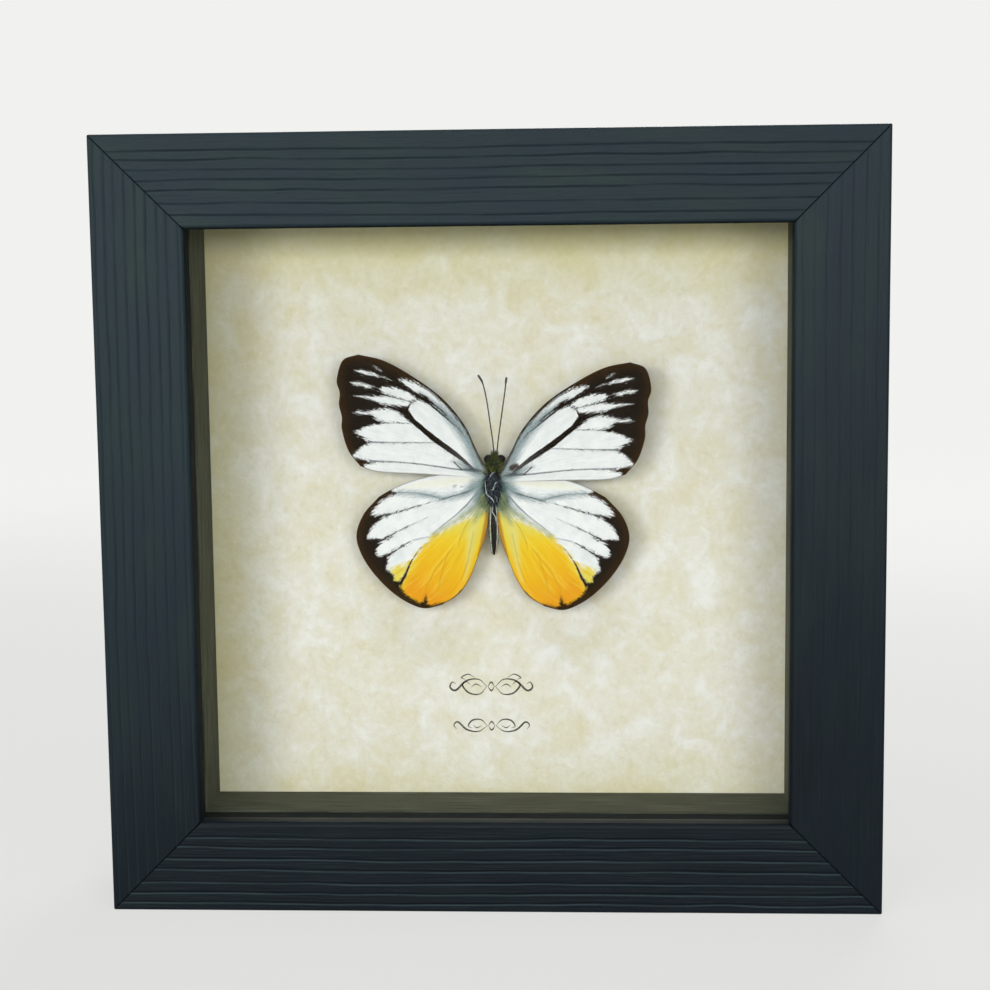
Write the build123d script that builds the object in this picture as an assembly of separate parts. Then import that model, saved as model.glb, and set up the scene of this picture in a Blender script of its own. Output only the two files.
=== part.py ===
from build123d import *
from math import cos, pi, sin
import os

# A free-standing deep wooden frame that shows one spread butterfly behind glass.
# Millimetres. X runs to the viewer's right, Y away from the viewer, Z up. The origin is at the
# middle of the base, half way between the front face and the outermost hardware on the back.

# ---------------------------------------------------------------- outer frame
outer_width = 152.0
outer_height = 152.5
face_width = 18.1            # front face of a rail, from its outer arris to the sight edge
rabbet_inset = 11.8          # wall that the glass and the boards sit against
lip_thickness = 3.6
arris_radius = 0.6
sight_edge_radius = 0.9

# ---------------------------------------------------------------- what the rabbet holds
glass_thickness = 2.0
glass_clearance = 0.5
strip_clearance = 0.2        # between the rabbet wall and the strips that line it
bead_depth = 7.8             # dark bead right behind the glass
bead_setback = 1.7           # from the rail's sight edge back to the bead's visible face
liner_depth = 14.4           # strip between the bead and the backing
liner_setback = 1.4
paper_thickness = 0.3
board_thickness = 5.0
panel_thickness = 3.0
board_clearance = 0.4

# ---------------------------------------------------------------- corner V-nails
nail_leg = 4.0
nail_gauge = 0.5
nail_length = 10.0
nail_insets = (3.0, 7.0)     # along the mitre, from the outer corner, measured on one rail
nail_clearance = 0.02

# ---------------------------------------------------------------- turn buttons and their screws
button_length = 20.0
button_width = 8.0
button_thickness = 1.2
button_inset = 6.0           # pivot, from the rail's outer face
button_spread = 70.0         # between the two pivots on one rail
button_lift = 0.1
button_chamfer = 0.25
screw_shank_radius = 1.3
screw_length = 12.0
screw_head_radius = 2.5
screw_head_height = 1.5
screw_head_bevel = 0.7
pilot_clearance = 0.03
pivot_clearance = 0.05

# ---------------------------------------------------------------- ring hanger
ring_wire_radius = 0.9
ring_wire_sides = 12
ring_loop_radius = 6.0       # to the middle of the wire
ring_drop = 3.0              # from the pivot to the centre of the loop's round end
sleeve_wall = 0.8
sleeve_clearance = 0.08
sleeve_length = 7.0
sleeve_lift = 0.05
strap_thickness = 0.8
strap_width = 9.0
strap_top_inset = 1.2
hanger_screw_inset = 4.6
ring_pivot_inset = 9.6

# ---------------------------------------------------------------- butterfly
specimen_x = -0.4
specimen_z = 81.9            # middle of the thorax above the base
thorax_width = 4.2
thorax_length = 7.6
thorax_rise = 5.2            # from the backing paper to the middle of the thorax
head_width = 2.8
head_length = 2.9
head_offset = 5.0
neck_offset = 3.68           # where the head is cut from the thorax
eye_width = 1.5
eye_offset = (1.25, 5.9)
eye_forward = 0.2
eye_socket = 0.95            # from the middle line out to the flat that the eye sits on
abdomen_width = 1.9
abdomen_length = 12.0
abdomen_offset = -8.0
waist_offset = -3.5          # where the abdomen is cut from the thorax
body_bands = 8               # facets of a rounded body, from end to end
body_sides = 16              # and around it
riser_width = 2.6
riser_height = 5.0
wing_thickness = 0.35
wing_offset = 0.6            # wings spring from the thorax a little in front of its middle
wing_layer_gap = 0.15        # between the forewing and the hindwing tucked under it
wing_dihedral = 3.0
wing_edge_chords = 56
vein_height = 0.08
vein_root_width = 0.5
vein_tip_width = 0.2
antenna_radius = 0.13
antenna_sides = 6
club_width = 0.64
club_length = 1.8

# Wing outlines, across from the body's middle line and up from the middle of the thorax.
forewing_outline = [
    (1.0, 3.2), (3.4, 7.5), (6.0, 12.8), (10.5, 18.1), (16.5, 22.4), (22.3, 25.5), (27.5, 26.7),
    (30.6, 25.5), (31.8, 21.5), (31.2, 16.5), (30.7, 11.5), (29.4, 7.2), (27.0, 4.1), (23.5, 3.0),
    (15.0, 2.6), (1.0, 2.0),
]
hindwing_outline = [
    (0.9, 1.9), (4.0, 2.5), (9.0, 2.9), (14.0, 2.2), (18.9, 0.7), (23.2, -1.6), (26.4, -5.1),
    (28.0, -9.2), (27.3, -13.0), (25.0, -17.0), (21.9, -20.5), (18.6, -23.1), (14.6, -24.8),
    (10.8, -24.1), (7.4, -22.0), (5.0, -18.6), (3.3, -14.0), (2.2, -8.0), (1.0, -2.6),
]
# Veins, each from the wing's root or the end of its cell to just inside the margin.
forewing_veins = [
    [(1.6, 3.0), (6.6, 10.6), (12.0, 16.6), (17.4, 20.4), (25.8, 25.0)],
    [(1.6, 2.8), (8.2, 8.6), (13.6, 12.8), (17.0, 15.6)],
    [(12.4, 16.6), (16.6, 18.6), (23.6, 21.6), (30.4, 24.0)],
    [(16.6, 18.6), (22.4, 19.4), (30.8, 20.4)],
    [(16.6, 16.8), (22.4, 16.6), (30.0, 16.8)],
    [(15.8, 14.6), (22.4, 13.2), (29.8, 11.6)],
    [(12.6, 11.6), (20.6, 9.2), (28.6, 8.4)],
    [(8.4, 8.2), (17.6, 6.0), (26.8, 5.2)],
    [(1.6, 2.6), (12.6, 3.6), (24.6, 4.0)],
]
hindwing_veins = [
    [(1.6, 1.6), (9.2, 1.6), (17.2, 0.2), (22.0, -1.6)],
    [(1.6, 1.2), (8.4, -1.0), (14.2, -2.6), (25.4, -5.4)],
    [(8.4, -1.0), (13.0, -5.2), (26.4, -10.0)],
    [(1.6, 0.6), (7.4, -4.4), (12.6, -8.6), (24.4, -15.6)],
    [(10.4, -6.8), (15.8, -13.4), (19.6, -21.0)],
    [(7.4, -4.4), (10.8, -13.0), (12.8, -23.2)],
    [(1.4, -0.6), (4.8, -9.0), (7.2, -20.2)],
]
# How each pair was set: swing lifts the tip in degrees, shift moves the wing across and up.
forewing_set = {"left": (1.25, 0.0, 0.0), "right": (-1.25, -0.2, -0.8)}
hindwing_set = {"left": (0.0, 0.0, 0.0), "right": (0.0, -0.4, -0.4)}
# Antennae: root, middle and tip, across and up from the middle of the thorax.
antenna_arcs = {
    "left": [(-0.35, 6.0), (-1.0, 15.6), (-2.9, 22.9)],
    "right": [(0.75, 6.0), (2.0, 14.4), (2.9, 22.4)],
}

# ---------------------------------------------------------------- depths, from the front face
bead_sight_inset = face_width - bead_setback
liner_sight_inset = face_width - liner_setback
glass_back = lip_thickness + glass_thickness
bead_back = glass_back + bead_depth
liner_back = bead_back + liner_depth
paper_back = liner_back + paper_thickness
board_back = paper_back + board_thickness
rail_depth = board_back + panel_thickness
sleeve_radius = ring_wire_radius + sleeve_clearance + sleeve_wall
hanger_stand_off = sleeve_lift + 2 * sleeve_radius
overall_depth = rail_depth + hanger_stand_off
front_y = -overall_depth / 2
back_y = front_y + rail_depth
thorax_y = front_y + liner_back - thorax_rise
ring_pivot = (0, back_y + sleeve_lift + sleeve_radius, outer_height - ring_pivot_inset)
specimen = Pos(specimen_x, thorax_y, specimen_z)

# Where the four sides and the four corners of the frame stand. On a side, X runs along it and
# Z points inwards from its outer face. At a corner, X and Z point inwards along the two rails.
SIDES = {
    "bottom": (Pos(0, front_y, 0), outer_width),
    "top": (Pos(0, front_y, outer_height) * Rot(0, 180, 0), outer_width),
    "left": (Pos(-outer_width / 2, front_y, outer_height / 2) * Rot(0, 90, 0), outer_height),
    "right": (Pos(outer_width / 2, front_y, outer_height / 2) * Rot(0, -90, 0), outer_height),
}
CORNERS = [
    Pos(-outer_width / 2, front_y, 0),
    Pos(outer_width / 2, front_y, 0) * Rot(0, -90, 0),
    Pos(outer_width / 2, front_y, outer_height) * Rot(0, 180, 0),
    Pos(-outer_width / 2, front_y, outer_height) * Rot(0, 90, 0),
]
# Turn buttons: pivot height and the turn that points the button inwards.
BUTTONS = {
    f"{side}_{level}": (sign * (outer_width / 2 - button_inset), outer_height / 2 + offset, sign)
    for side, sign in (("left", -1), ("right", 1))
    for level, offset in (("upper", button_spread / 2), ("lower", -button_spread / 2))
}


def mitred(profile, length):
    """A bar with this profile (inset, depth) along X, its ends cut at 45 degrees."""
    section = Plane(origin=(length / 2, 0, 0), x_dir=(0, 0, 1), z_dir=(-1, 0, 0)) * profile
    bar = extrude(section, length)
    reach = face_width + 1
    outline = Polyline(
        (-length / 2, 0), (length / 2, 0), (length / 2 - reach, reach),
        (-length / 2 + reach, reach), close=True,
    )
    wedge = extrude(Plane.XZ.offset(1) * make_face(outline), -(rail_depth + 2))
    return bar & wedge


def strip_profile(sight_inset, depth_from, depth_to):
    """Rectangle between the rabbet wall and the strip's visible inner face."""
    outer = rabbet_inset + strip_clearance
    corner = Pos(outer, depth_from)
    return corner * Rectangle(sight_inset - outer, depth_to - depth_from, align=Align.MIN)


def rail_profile():
    """L-shaped moulding: a deep wall with a lip over the glass and a rounded sight edge."""
    wall = Rectangle(rabbet_inset, rail_depth, align=Align.MIN)
    lip = Rectangle(face_width, lip_thickness, align=Align.MIN)
    section = wall + lip
    outer_corners = section.vertices().group_by(Axis.X)[0]
    section = fillet(outer_corners, arris_radius)
    sight_corner = section.vertices().group_by(Axis.X)[-1].sort_by(Axis.Y)[0]
    return fillet(sight_corner, sight_edge_radius)


def v_nail(inset, clearance):
    """A thin steel angle driven into the back of a mitre, its apex towards the outer corner."""
    leg = nail_leg + clearance
    gauge = nail_gauge + 2 * clearance
    start = inset - nail_gauge / 2 - clearance
    along = Box(leg, nail_length, gauge, align=(Align.MIN, Align.MAX, Align.MIN))
    up = Box(gauge, nail_length, leg, align=(Align.MIN, Align.MAX, Align.MIN))
    return Pos(start, rail_depth, start) * (along + up)


def corner_nails(clearance):
    return [place * v_nail(k, clearance) for place in CORNERS for k in nail_insets]


def screw(height):
    """Pan-head screw that points along -Y, its head's underside at this height."""
    down, up = (Align.CENTER, Align.CENTER, Align.MAX), (Align.CENTER, Align.CENTER, Align.MIN)
    shank = Cylinder(screw_shank_radius, screw_length, align=down)
    head = Cylinder(screw_head_radius, screw_head_height, align=up)
    head = chamfer(head.edges().group_by(Axis.Z)[-1], screw_head_bevel)
    return Pos(0, height, 0) * Rot(-90, 0, 0) * (shank + head)


def pilot_hole():
    hole = Cylinder(
        screw_shank_radius + pilot_clearance, screw_length + 1,
        align=(Align.CENTER, Align.CENTER, Align.MAX),
    )
    return Rot(-90, 0, 0) * hole


def turn_button():
    """A flat stadium-shaped catch that reaches along +X from its pivot."""
    reach = button_length - button_width
    plate = Pos(reach / 2, 0) * SlotOverall(button_length, button_width)
    plate -= Circle(screw_shank_radius + pivot_clearance)
    solid = extrude(plate, button_thickness)
    rim = solid.edges().group_by(Axis.Z)[-1].sort_by(Edge.length)[1:]
    return Rot(-90, 0, 0) * chamfer(rim, button_chamfer)


def ring_hanger_strap():
    """A strap folded round the ring's bar, with its plate flat on the rail."""
    bore_radius = sleeve_radius - sleeve_wall
    tube = Circle(sleeve_radius) - Circle(bore_radius)
    sleeve = Pos(*ring_pivot) * extrude(Plane.YZ * tube, sleeve_length / 2, both=True)
    plate_low = ring_pivot_inset - sleeve_radius + sleeve_wall / 2
    plate = Box(
        strap_width, strap_thickness, plate_low - strap_top_inset,
        align=(Align.CENTER, Align.MIN, Align.MAX),
    )
    plate = fillet(plate.edges().filter_by(Axis.Y).group_by(Axis.Z)[-1], strap_width / 3)
    plate = Pos(0, back_y, outer_height - strap_top_inset) * plate
    hole = Pos(0, back_y + strap_thickness, outer_height - hanger_screw_inset) * pilot_hole()
    bore = Pos(*ring_pivot) * extrude(Plane.YZ * Circle(bore_radius), strap_width, both=True)
    return sleeve + (plate - hole - bore)


def hanger_ring():
    """D-shaped wire: a straight bar through the sleeve and a round loop that hangs below it."""
    loop = Polyline((0, 0), (ring_loop_radius, 0), (ring_loop_radius, -ring_drop))
    loop += ThreePointArc(
        (ring_loop_radius, -ring_drop), (0, -ring_drop - ring_loop_radius),
        (-ring_loop_radius, -ring_drop),
    )
    loop += Polyline((-ring_loop_radius, -ring_drop), (-ring_loop_radius, 0), (0, 0))
    section = Plane.YZ * RegularPolygon(ring_wire_radius, ring_wire_sides)
    return Pos(*ring_pivot) * sweep(section, path=Plane.XZ * loop, transition=Transition.RIGHT)


def rounded_body(width, length):
    """An ellipsoid about Z in flat facets, like a cut stone."""
    rings = []
    for i in range(body_bands + 1):
        turn = pi * i / body_bands
        radius, height = width / 2 * sin(turn), length / 2 * cos(turn)
        around = [2 * pi * j / body_sides for j in range(body_sides)]
        rings.append([Vector(radius * cos(u), radius * sin(u), height) for u in around])
    facets = []
    for i, (upper, lower) in enumerate(zip(rings, rings[1:])):
        for j in range(body_sides):
            top = [upper[j]] if i == 0 else [upper[j - 1], upper[j]]
            low = [lower[j]] if i == body_bands - 1 else [lower[j], lower[j - 1]]
            facets.append(Face(Wire.make_polygon(top + low)))
    return Solid(Shell(facets))


def vein(path):
    """A rib that narrows from root to tip, as a flat face."""
    points = [Vector(*p) for p in path]
    left, right = [], []
    for i, point in enumerate(points):
        before, after = points[max(i - 1, 0)], points[min(i + 1, len(points) - 1)]
        along = (after - before).normalized()
        share = i / (len(points) - 1)
        half = (vein_root_width * (1 - share) + vein_tip_width * share) / 2
        left.append(point + Vector(-along.Y, along.X) * half)
        right.append(point - Vector(-along.Y, along.X) * half)
    return make_face(Polyline(*left, *reversed(right), close=True))


def wing(outline, veins, side, setting, layer):
    """A thin plate with raised veins, set at its angle and cut to the thorax."""
    curve = Spline(*outline)
    edge = Polyline(*[curve @ (i / wing_edge_chords) for i in range(wing_edge_chords + 1)], close=True)
    blade = extrude(Plane.XZ * make_face(edge), wing_thickness)
    top = Plane.XZ.offset(wing_thickness)
    for path in veins:
        blade += extrude(top * vein(path), vein_height)
    swing, across, up = setting
    blade = Rot(0, -swing, 0) * Rot(0, 0, -wing_dihedral) * blade
    if side == "left":
        blade = mirror(blade, about=Plane.YZ)
    level = thorax_y - wing_offset + layer * (wing_thickness + wing_layer_gap)
    return Pos(specimen_x + across, level, specimen_z + up) * blade


def antenna(side):
    """A fine arc from the head to a small club."""
    root, middle, tip = antenna_arcs[side]
    arc = Plane.XZ * ThreePointArc(root, middle, tip)
    section = Plane(arc @ 0, z_dir=arc % 0) * RegularPolygon(antenna_radius, antenna_sides)
    club = Plane(arc @ 1, z_dir=arc % 1) * Pos(0, 0, -club_length / 2)
    club *= rounded_body(club_width, club_length)
    return specimen * (sweep(section, path=arc) + club)


def sheet(size_clearance, depth_from, depth_to):
    """A flat rectangle in the rabbet, between two depths."""
    inset = rabbet_inset + size_clearance
    block = Box(
        outer_width - 2 * inset, depth_to - depth_from, outer_height - 2 * inset,
        align=(Align.CENTER, Align.MIN, Align.CENTER),
    )
    return Pos(0, front_y + depth_from, outer_height / 2) * block


def save(name, shape):
    solids = shape if isinstance(shape, list) else shape.solids()
    whole = solids[0] if len(solids) == 1 else Compound(children=list(solids))
    export_step(whole, f"parts/{name}.step")


os.makedirs("parts", exist_ok=True)

# Frame rails, with slots for the V-nails and pilot holes for the screws.
button_places = {name: Pos(x, back_y, z) for name, (x, z, sign) in BUTTONS.items()}
hanger_screw_place = Pos(0, back_y, outer_height - hanger_screw_inset)
holes = [place * pilot_hole() for place in [*button_places.values(), hanger_screw_place]]
bead_profile = strip_profile(bead_sight_inset, glass_back, bead_back)
liner_profile = strip_profile(liner_sight_inset, bead_back, liner_back)
for side, (place, length) in SIDES.items():
    rail = place * mitred(rail_profile(), length)
    for cut in corner_nails(nail_clearance) + holes:
        rail -= cut
    save(f"rail_{side}", rail)
    save(f"glazing_bead_{side}", place * mitred(bead_profile, length))
    save(f"liner_{side}", place * mitred(liner_profile, length))
save("corner_v_nails", corner_nails(0))

# Glass and boards.
save("front_glass", sheet(glass_clearance, lip_thickness, glass_back))
save("backing_paper", sheet(board_clearance, liner_back, paper_back))
save("mount_board", sheet(board_clearance, paper_back, board_back))
save("back_panel", sheet(board_clearance, board_back, rail_depth))

# Hardware on the back.
for name, (x, z, sign) in BUTTONS.items():
    turned = Rot(0, 0 if sign < 0 else 180, 0) * turn_button()
    save(f"turn_button_{name}", Pos(x, back_y + button_lift, z) * turned)
button_screw_height = 2 * button_lift + button_thickness
save("turn_button_screws", [place * screw(button_screw_height) for place in button_places.values()])
save("hanger_strap", ring_hanger_strap())
save("hanger_ring", hanger_ring())
save("hanger_screw", hanger_screw_place * screw(strap_thickness))

# The butterfly's body, from the head down. Neighbours meet face to face.
neck, waist = Plane.XY.offset(neck_offset), Plane.XY.offset(waist_offset)
full_thorax = rounded_body(thorax_width, thorax_length)
thorax = split(split(full_thorax, neck, Keep.BOTTOM), waist, Keep.TOP)
between_eyes = Pos(0, 0, eye_offset[1]) * Box(2 * eye_socket, 2 * head_width, 2 * head_length)
head = split(Pos(0, 0, head_offset) * rounded_body(head_width, head_length), neck, Keep.TOP)
head &= between_eyes
abdomen = Pos(0, 0, abdomen_offset) * rounded_body(abdomen_width, abdomen_length)
abdomen = split(abdomen, waist, Keep.BOTTOM)
eye_places = [Pos(sign * eye_offset[0], -eye_forward, eye_offset[1]) for sign in (-1, 1)]
eyes = [place * rounded_body(eye_width, eye_width) - between_eyes for place in eye_places]
riser = Box(riser_width, thorax_rise, riser_height, align=(Align.CENTER, Align.MIN, Align.CENTER))
save("head", specimen * head)
save("eyes", [specimen * part for part in eyes])
save("thorax", specimen * thorax)
save("abdomen", specimen * abdomen)
save("specimen_riser", specimen * (riser - full_thorax))

# Wings and antennae, cut to the body that carries them.
for side in ("left", "right"):
    forewing = wing(forewing_outline, forewing_veins, side, forewing_set[side], 0)
    hindwing = wing(hindwing_outline, hindwing_veins, side, hindwing_set[side], 1)
    save(f"antenna_{side}", antenna(side) - specimen * head)
    save(f"forewing_{side}", forewing - specimen * thorax)
    save(f"hindwing_{side}", hindwing - specimen * thorax - specimen * abdomen)
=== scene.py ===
# %% [markdown]
# # A butterfly display case
# The object is a deep wooden box frame. A butterfly with its wings spread stands in it on a small
# riser, over a sheet of parchment paper and behind a pane of glass.

# %% Load the frame
import math
import random

import bmesh
import bpy
import numpy as np
from mathutils import Matrix, Quaternion, Vector, noise


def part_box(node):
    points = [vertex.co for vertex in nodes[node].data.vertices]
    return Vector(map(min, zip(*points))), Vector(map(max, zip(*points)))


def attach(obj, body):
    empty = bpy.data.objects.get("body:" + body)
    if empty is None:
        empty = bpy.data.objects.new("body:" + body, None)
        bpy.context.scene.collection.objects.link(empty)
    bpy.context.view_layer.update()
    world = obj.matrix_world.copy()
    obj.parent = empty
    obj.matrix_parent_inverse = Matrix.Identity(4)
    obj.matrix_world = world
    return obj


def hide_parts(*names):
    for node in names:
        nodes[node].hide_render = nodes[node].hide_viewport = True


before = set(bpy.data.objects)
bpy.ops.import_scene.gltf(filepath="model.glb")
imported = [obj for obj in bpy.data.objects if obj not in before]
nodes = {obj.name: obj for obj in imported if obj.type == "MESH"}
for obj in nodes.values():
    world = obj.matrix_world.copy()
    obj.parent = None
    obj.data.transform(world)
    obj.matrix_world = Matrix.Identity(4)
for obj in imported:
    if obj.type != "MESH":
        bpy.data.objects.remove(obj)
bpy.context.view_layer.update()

MM = 0.001


# %% [markdown]
# ## The camera
# The photograph was taken from a little above the middle of the case and a little to its right,
# with a long lens. A camera that aims at a point keeps the three things apart that matter: where it
# stands, what it looks at, and how far it is rolled about its own line of sight.

# %% Camera
camera_place = Vector((21.52, -401.83, 131.23)) * MM
camera_aim = Vector((0.34, -5.52, 81.31)) * MM
camera_roll = math.radians(-0.638)
camera_data = bpy.data.cameras.new("camera")
camera_data.sensor_width = 36
camera_data.lens = 72.92
camera_data.clip_start = 0.01
camera = bpy.data.objects.new("camera", camera_data)
bpy.context.collection.objects.link(camera)
aim = (camera_aim - camera_place).to_track_quat("-Z", "Y")
camera.rotation_mode = "QUATERNION"
camera.rotation_quaternion = aim @ Quaternion((0, 0, 1), camera_roll)
camera.location = camera_place
bpy.context.scene.camera = camera
print("camera distance, mm:", round((camera_aim - camera_place).length / MM))


# %% [markdown]
# ## Helpers for materials
# Every finish here is a small network of shader nodes. Short helpers keep those networks readable:
# they add a node with its numbers and links, do arithmetic, mix two colours, or turn a value into a
# colour or a mask. Colours are written as they look on a screen, and are turned into the linear
# values that the shader works with.

# %% Helpers for shader nodes
def rgb(text):
    """A colour written as #rrggbb, in linear light."""
    parts = [int(text[i:i + 2], 16) / 255 for i in (1, 3, 5)]
    return (*[c / 12.92 if c <= 0.04045 else ((c + 0.055) / 1.055) ** 2.4 for c in parts], 1.0)


def fill(made, inputs):
    """Gives a node numbers or links for its inputs."""
    for name, value in inputs.items():
        socket = made.inputs[name]
        if isinstance(value, bpy.types.NodeSocket):
            value.id_data.links.new(value, socket)
        else:
            socket.default_value = value
    return made


def add(tree, kind, inputs=None, **settings):
    """A new node, with its settings and its inputs."""
    made = tree.nodes.new("ShaderNode" + kind)
    for name, value in settings.items():
        setattr(made, name, value)
    return fill(made, inputs or {})


def tree_of(values):
    """The node tree that the links among these values belong to."""
    return next(value.id_data for value in values if isinstance(value, bpy.types.NodeSocket))


def calc(operation, *values):
    """The result of one arithmetic step."""
    return add(tree_of(values), "Math", dict(enumerate(values)), operation=operation).outputs[0]


def blend(share, first, second):
    """Two colours mixed by a share."""
    inputs = {0: share, 6: first, 7: second}
    return add(tree_of(inputs.values()), "Mix", inputs, data_type="RGBA").outputs[2]


def tinted(colour, mask, strength, text):
    """A colour with another one over it where the mask is, at this strength."""
    return blend(calc("MULTIPLY", mask, strength), colour, rgb(text))


def about(value, strength):
    """Noise around 0.5 turned into a push either way."""
    return calc("MULTIPLY", calc("SUBTRACT", value, 0.5), strength)


def fade(value, low, high):
    """0 where the value is at low, 1 where it is at high, smooth between."""
    inputs = {"Value": value, "From Min": low, "From Max": high}
    return add(value.id_data, "MapRange", inputs, interpolation_type="SMOOTHSTEP").outputs[0]


def ramp(value, *stops):
    """A colour for each value, from (place, colour) stops."""
    made = add(value.id_data, "ValToRGB", {0: value})
    elements = made.color_ramp.elements
    while len(elements) < len(stops):
        elements.new(0.5)
    for element, (place, colour) in zip(elements, stops):
        element.position = place
        element.color = rgb(colour)
    return made.outputs[0]


def cloud(place, size, detail=2.0, rough=0.5, warp=0.0):
    """Soft noise with blobs of about this size, in the units of place."""
    inputs = {"Vector": place, "Scale": 1 / size, "Detail": detail, "Roughness": rough, "Distortion": warp}
    return add(place.id_data, "TexNoise", inputs).outputs["Fac"]


# %% Helpers for materials and groups
def new_material(name):
    """An empty node material and its principled shader."""
    made = bpy.data.materials.new(name)
    made.use_nodes = True
    return made, made.node_tree, made.node_tree.nodes["Principled BSDF"]


def new_group(name, inputs, outputs):
    """An empty node group with these named sockets: {name: (kind, starting value)} and {name: kind}."""
    tree = bpy.data.node_groups.new(name, "ShaderNodeTree")
    for socket, (kind, value) in inputs.items():
        made = tree.interface.new_socket(socket, in_out="INPUT", socket_type="NodeSocket" + kind)
        if value is not None:
            made.default_value = value
    for socket, kind in outputs.items():
        tree.interface.new_socket(socket, in_out="OUTPUT", socket_type="NodeSocket" + kind)
    return tree, tree.nodes.new("NodeGroupInput"), tree.nodes.new("NodeGroupOutput")


def place_group(tree, group, **inputs):
    """A group in a material, with its own values."""
    made = tree.nodes.new("ShaderNodeGroup")
    made.node_tree = group
    return fill(made, inputs).outputs


def stored(tree, name, output="Fac"):
    """A value that the mesh keeps on its vertices."""
    return add(tree, "Attribute", attribute_name=name).outputs[output]


def millimetres(tree):
    """The place on the piece, in millimetres."""
    place = add(tree, "TexCoord").outputs["Object"]
    return add(tree, "VectorMath", {0: place, 1: (1000, 1000, 1000)}, operation="MULTIPLY").outputs[0]


def stretched(place, x, y, z):
    """A place divided by these lengths, so that noise of size 1 gets them as its blob size."""
    return add(place.id_data, "VectorMath", {0: place, 1: (x, y, z)}, operation="DIVIDE").outputs[0]


def finish(shader, colour, roughness, specular=0.5, height=None, depth=0.0):
    """Gives a shader its colour and gloss, and bumps it by a height that is this deep, in metres."""
    fill(shader, {"Base Color": colour, "Roughness": roughness, "Specular IOR Level": specular})
    if height:
        bump = add(height.id_data, "Bump", {"Height": height, "Distance": depth, "Strength": 1.0})
        fill(shader, {"Normal": bump.outputs[0]})


def dress(name, *node_names):
    """Gives CAD nodes one material."""
    for node_name in node_names:
        slots = nodes[node_name].material_slots
        slots[0].link = "DATA"
        slots[0].material = bpy.data.materials[name]


# %% [markdown]
# ## Shared effects
# Two effects turn up on several pieces. Fine wood fibre is noise drawn out along the grain: the
# painted rails, the dark bead and the liner strips all have it. Dust is a sprinkle of pale specks:
# a Voronoi texture gives one point to each cell, a small radius around the point makes a speck, and
# a second random value decides which cells get one at all.

# %% Fibre and dust groups
fibre_group, given, result = new_group(
    "wood fibre", {"Along": ("Float", 0.0), "Across": ("Float", 0.0), "Depth": ("Float", 0.0)},
    {"Fibre": "Float", "Pores": "Float"},
)
parts = {"X": calc("DIVIDE", given.outputs["Along"], 14.0),
         "Y": calc("DIVIDE", given.outputs["Across"], 0.45),
         "Z": calc("DIVIDE", given.outputs["Depth"], 0.45)}
thread = add(fibre_group, "CombineXYZ", parts).outputs[0]
fibres = cloud(thread, 1.0, detail=4.0, rough=0.6)
short = add(fibre_group, "VectorMath", {0: thread, 1: (5.0, 2.0, 2.0)}, operation="MULTIPLY").outputs[0]
pores = fade(cloud(short, 1.0, detail=1.0), 0.60, 0.72)
fibre_group.links.new(fibres, result.inputs["Fibre"])
fibre_group.links.new(pores, result.inputs["Pores"])

dust_group, given, result = new_group(
    "dust", {"Place": ("Vector", None), "Spacing": ("Float", 6.0), "Speck": ("Float", 0.12),
             "Share": ("Float", 0.2)}, {"Dust": "Float"},
)
closeness = calc("DIVIDE", 1.0, given.outputs["Spacing"])
scaled = {0: given.outputs["Place"], "Scale": closeness}
scaled = add(dust_group, "VectorMath", scaled, operation="SCALE").outputs[0]
cells = add(dust_group, "TexVoronoi", {"Vector": scaled, "Scale": 1.0})
near = calc("MULTIPLY", cells.outputs["Distance"], given.outputs["Spacing"])
chance = add(dust_group, "SeparateColor", {0: cells.outputs["Color"]})
size = calc("MULTIPLY", given.outputs["Speck"], calc("ADD", chance.outputs[1], 0.4))
inside = calc("LESS_THAN", near, size)
chosen = calc("LESS_THAN", chance.outputs[0], given.outputs["Share"])
dust_group.links.new(calc("MULTIPLY", inside, chosen), result.inputs["Dust"])
print("groups:", [g.name for g in bpy.data.node_groups])


# %% [markdown]
# ## The rails
# The frame is made of four lengths of softwood moulding. Their faces were wire-brushed before they
# were painted, so the soft part of each growth ring is a narrow groove that wanders along the rail.
# A bump map alone would look flat from the side, so the grooves are real: the moulding's outline is
# swept along the rail in many steps, and then every vertex sinks by the depth of the grain there.
# Scaling each section's length with its distance from the outer face gives the 45-degree mitres.

# %% Outline of the moulding
rail_low, rail_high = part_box("rail_bottom")
glass_low, glass_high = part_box("front_glass")
outer_width = (rail_high.x - rail_low.x) / MM
outer_height = (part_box("rail_left")[1].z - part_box("rail_left")[0].z) / MM
front_y = rail_low.y / MM
rail_depth = (rail_high.y - rail_low.y) / MM - 0.05
face_width = (rail_high.z - rail_low.z) / MM
lip_thickness = glass_low.y / MM - front_y
back_y = front_y + rail_depth
rabbet_inset = outer_width / 2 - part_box("glazing_bead_top")[1].x / MM - 0.2
arris_radius, sight_radius, back_radius = 0.6, 0.9, 0.4


def arc(centre, radius, start, end, steps=6):
    """Points on a round corner, from one angle in degrees to another."""
    turns = [math.radians(start + (end - start) * i / steps) for i in range(steps + 1)]
    return [(centre[0] + radius * math.cos(t), centre[1] + radius * math.sin(t)) for t in turns]


def run(start, end, pitch):
    """Points strictly between two ends, about this far apart."""
    count = max(1, round(math.dist(start, end) / pitch))
    return [tuple(a + (b - a) * i / count for a, b in zip(start, end)) for i in range(1, count)]


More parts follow.
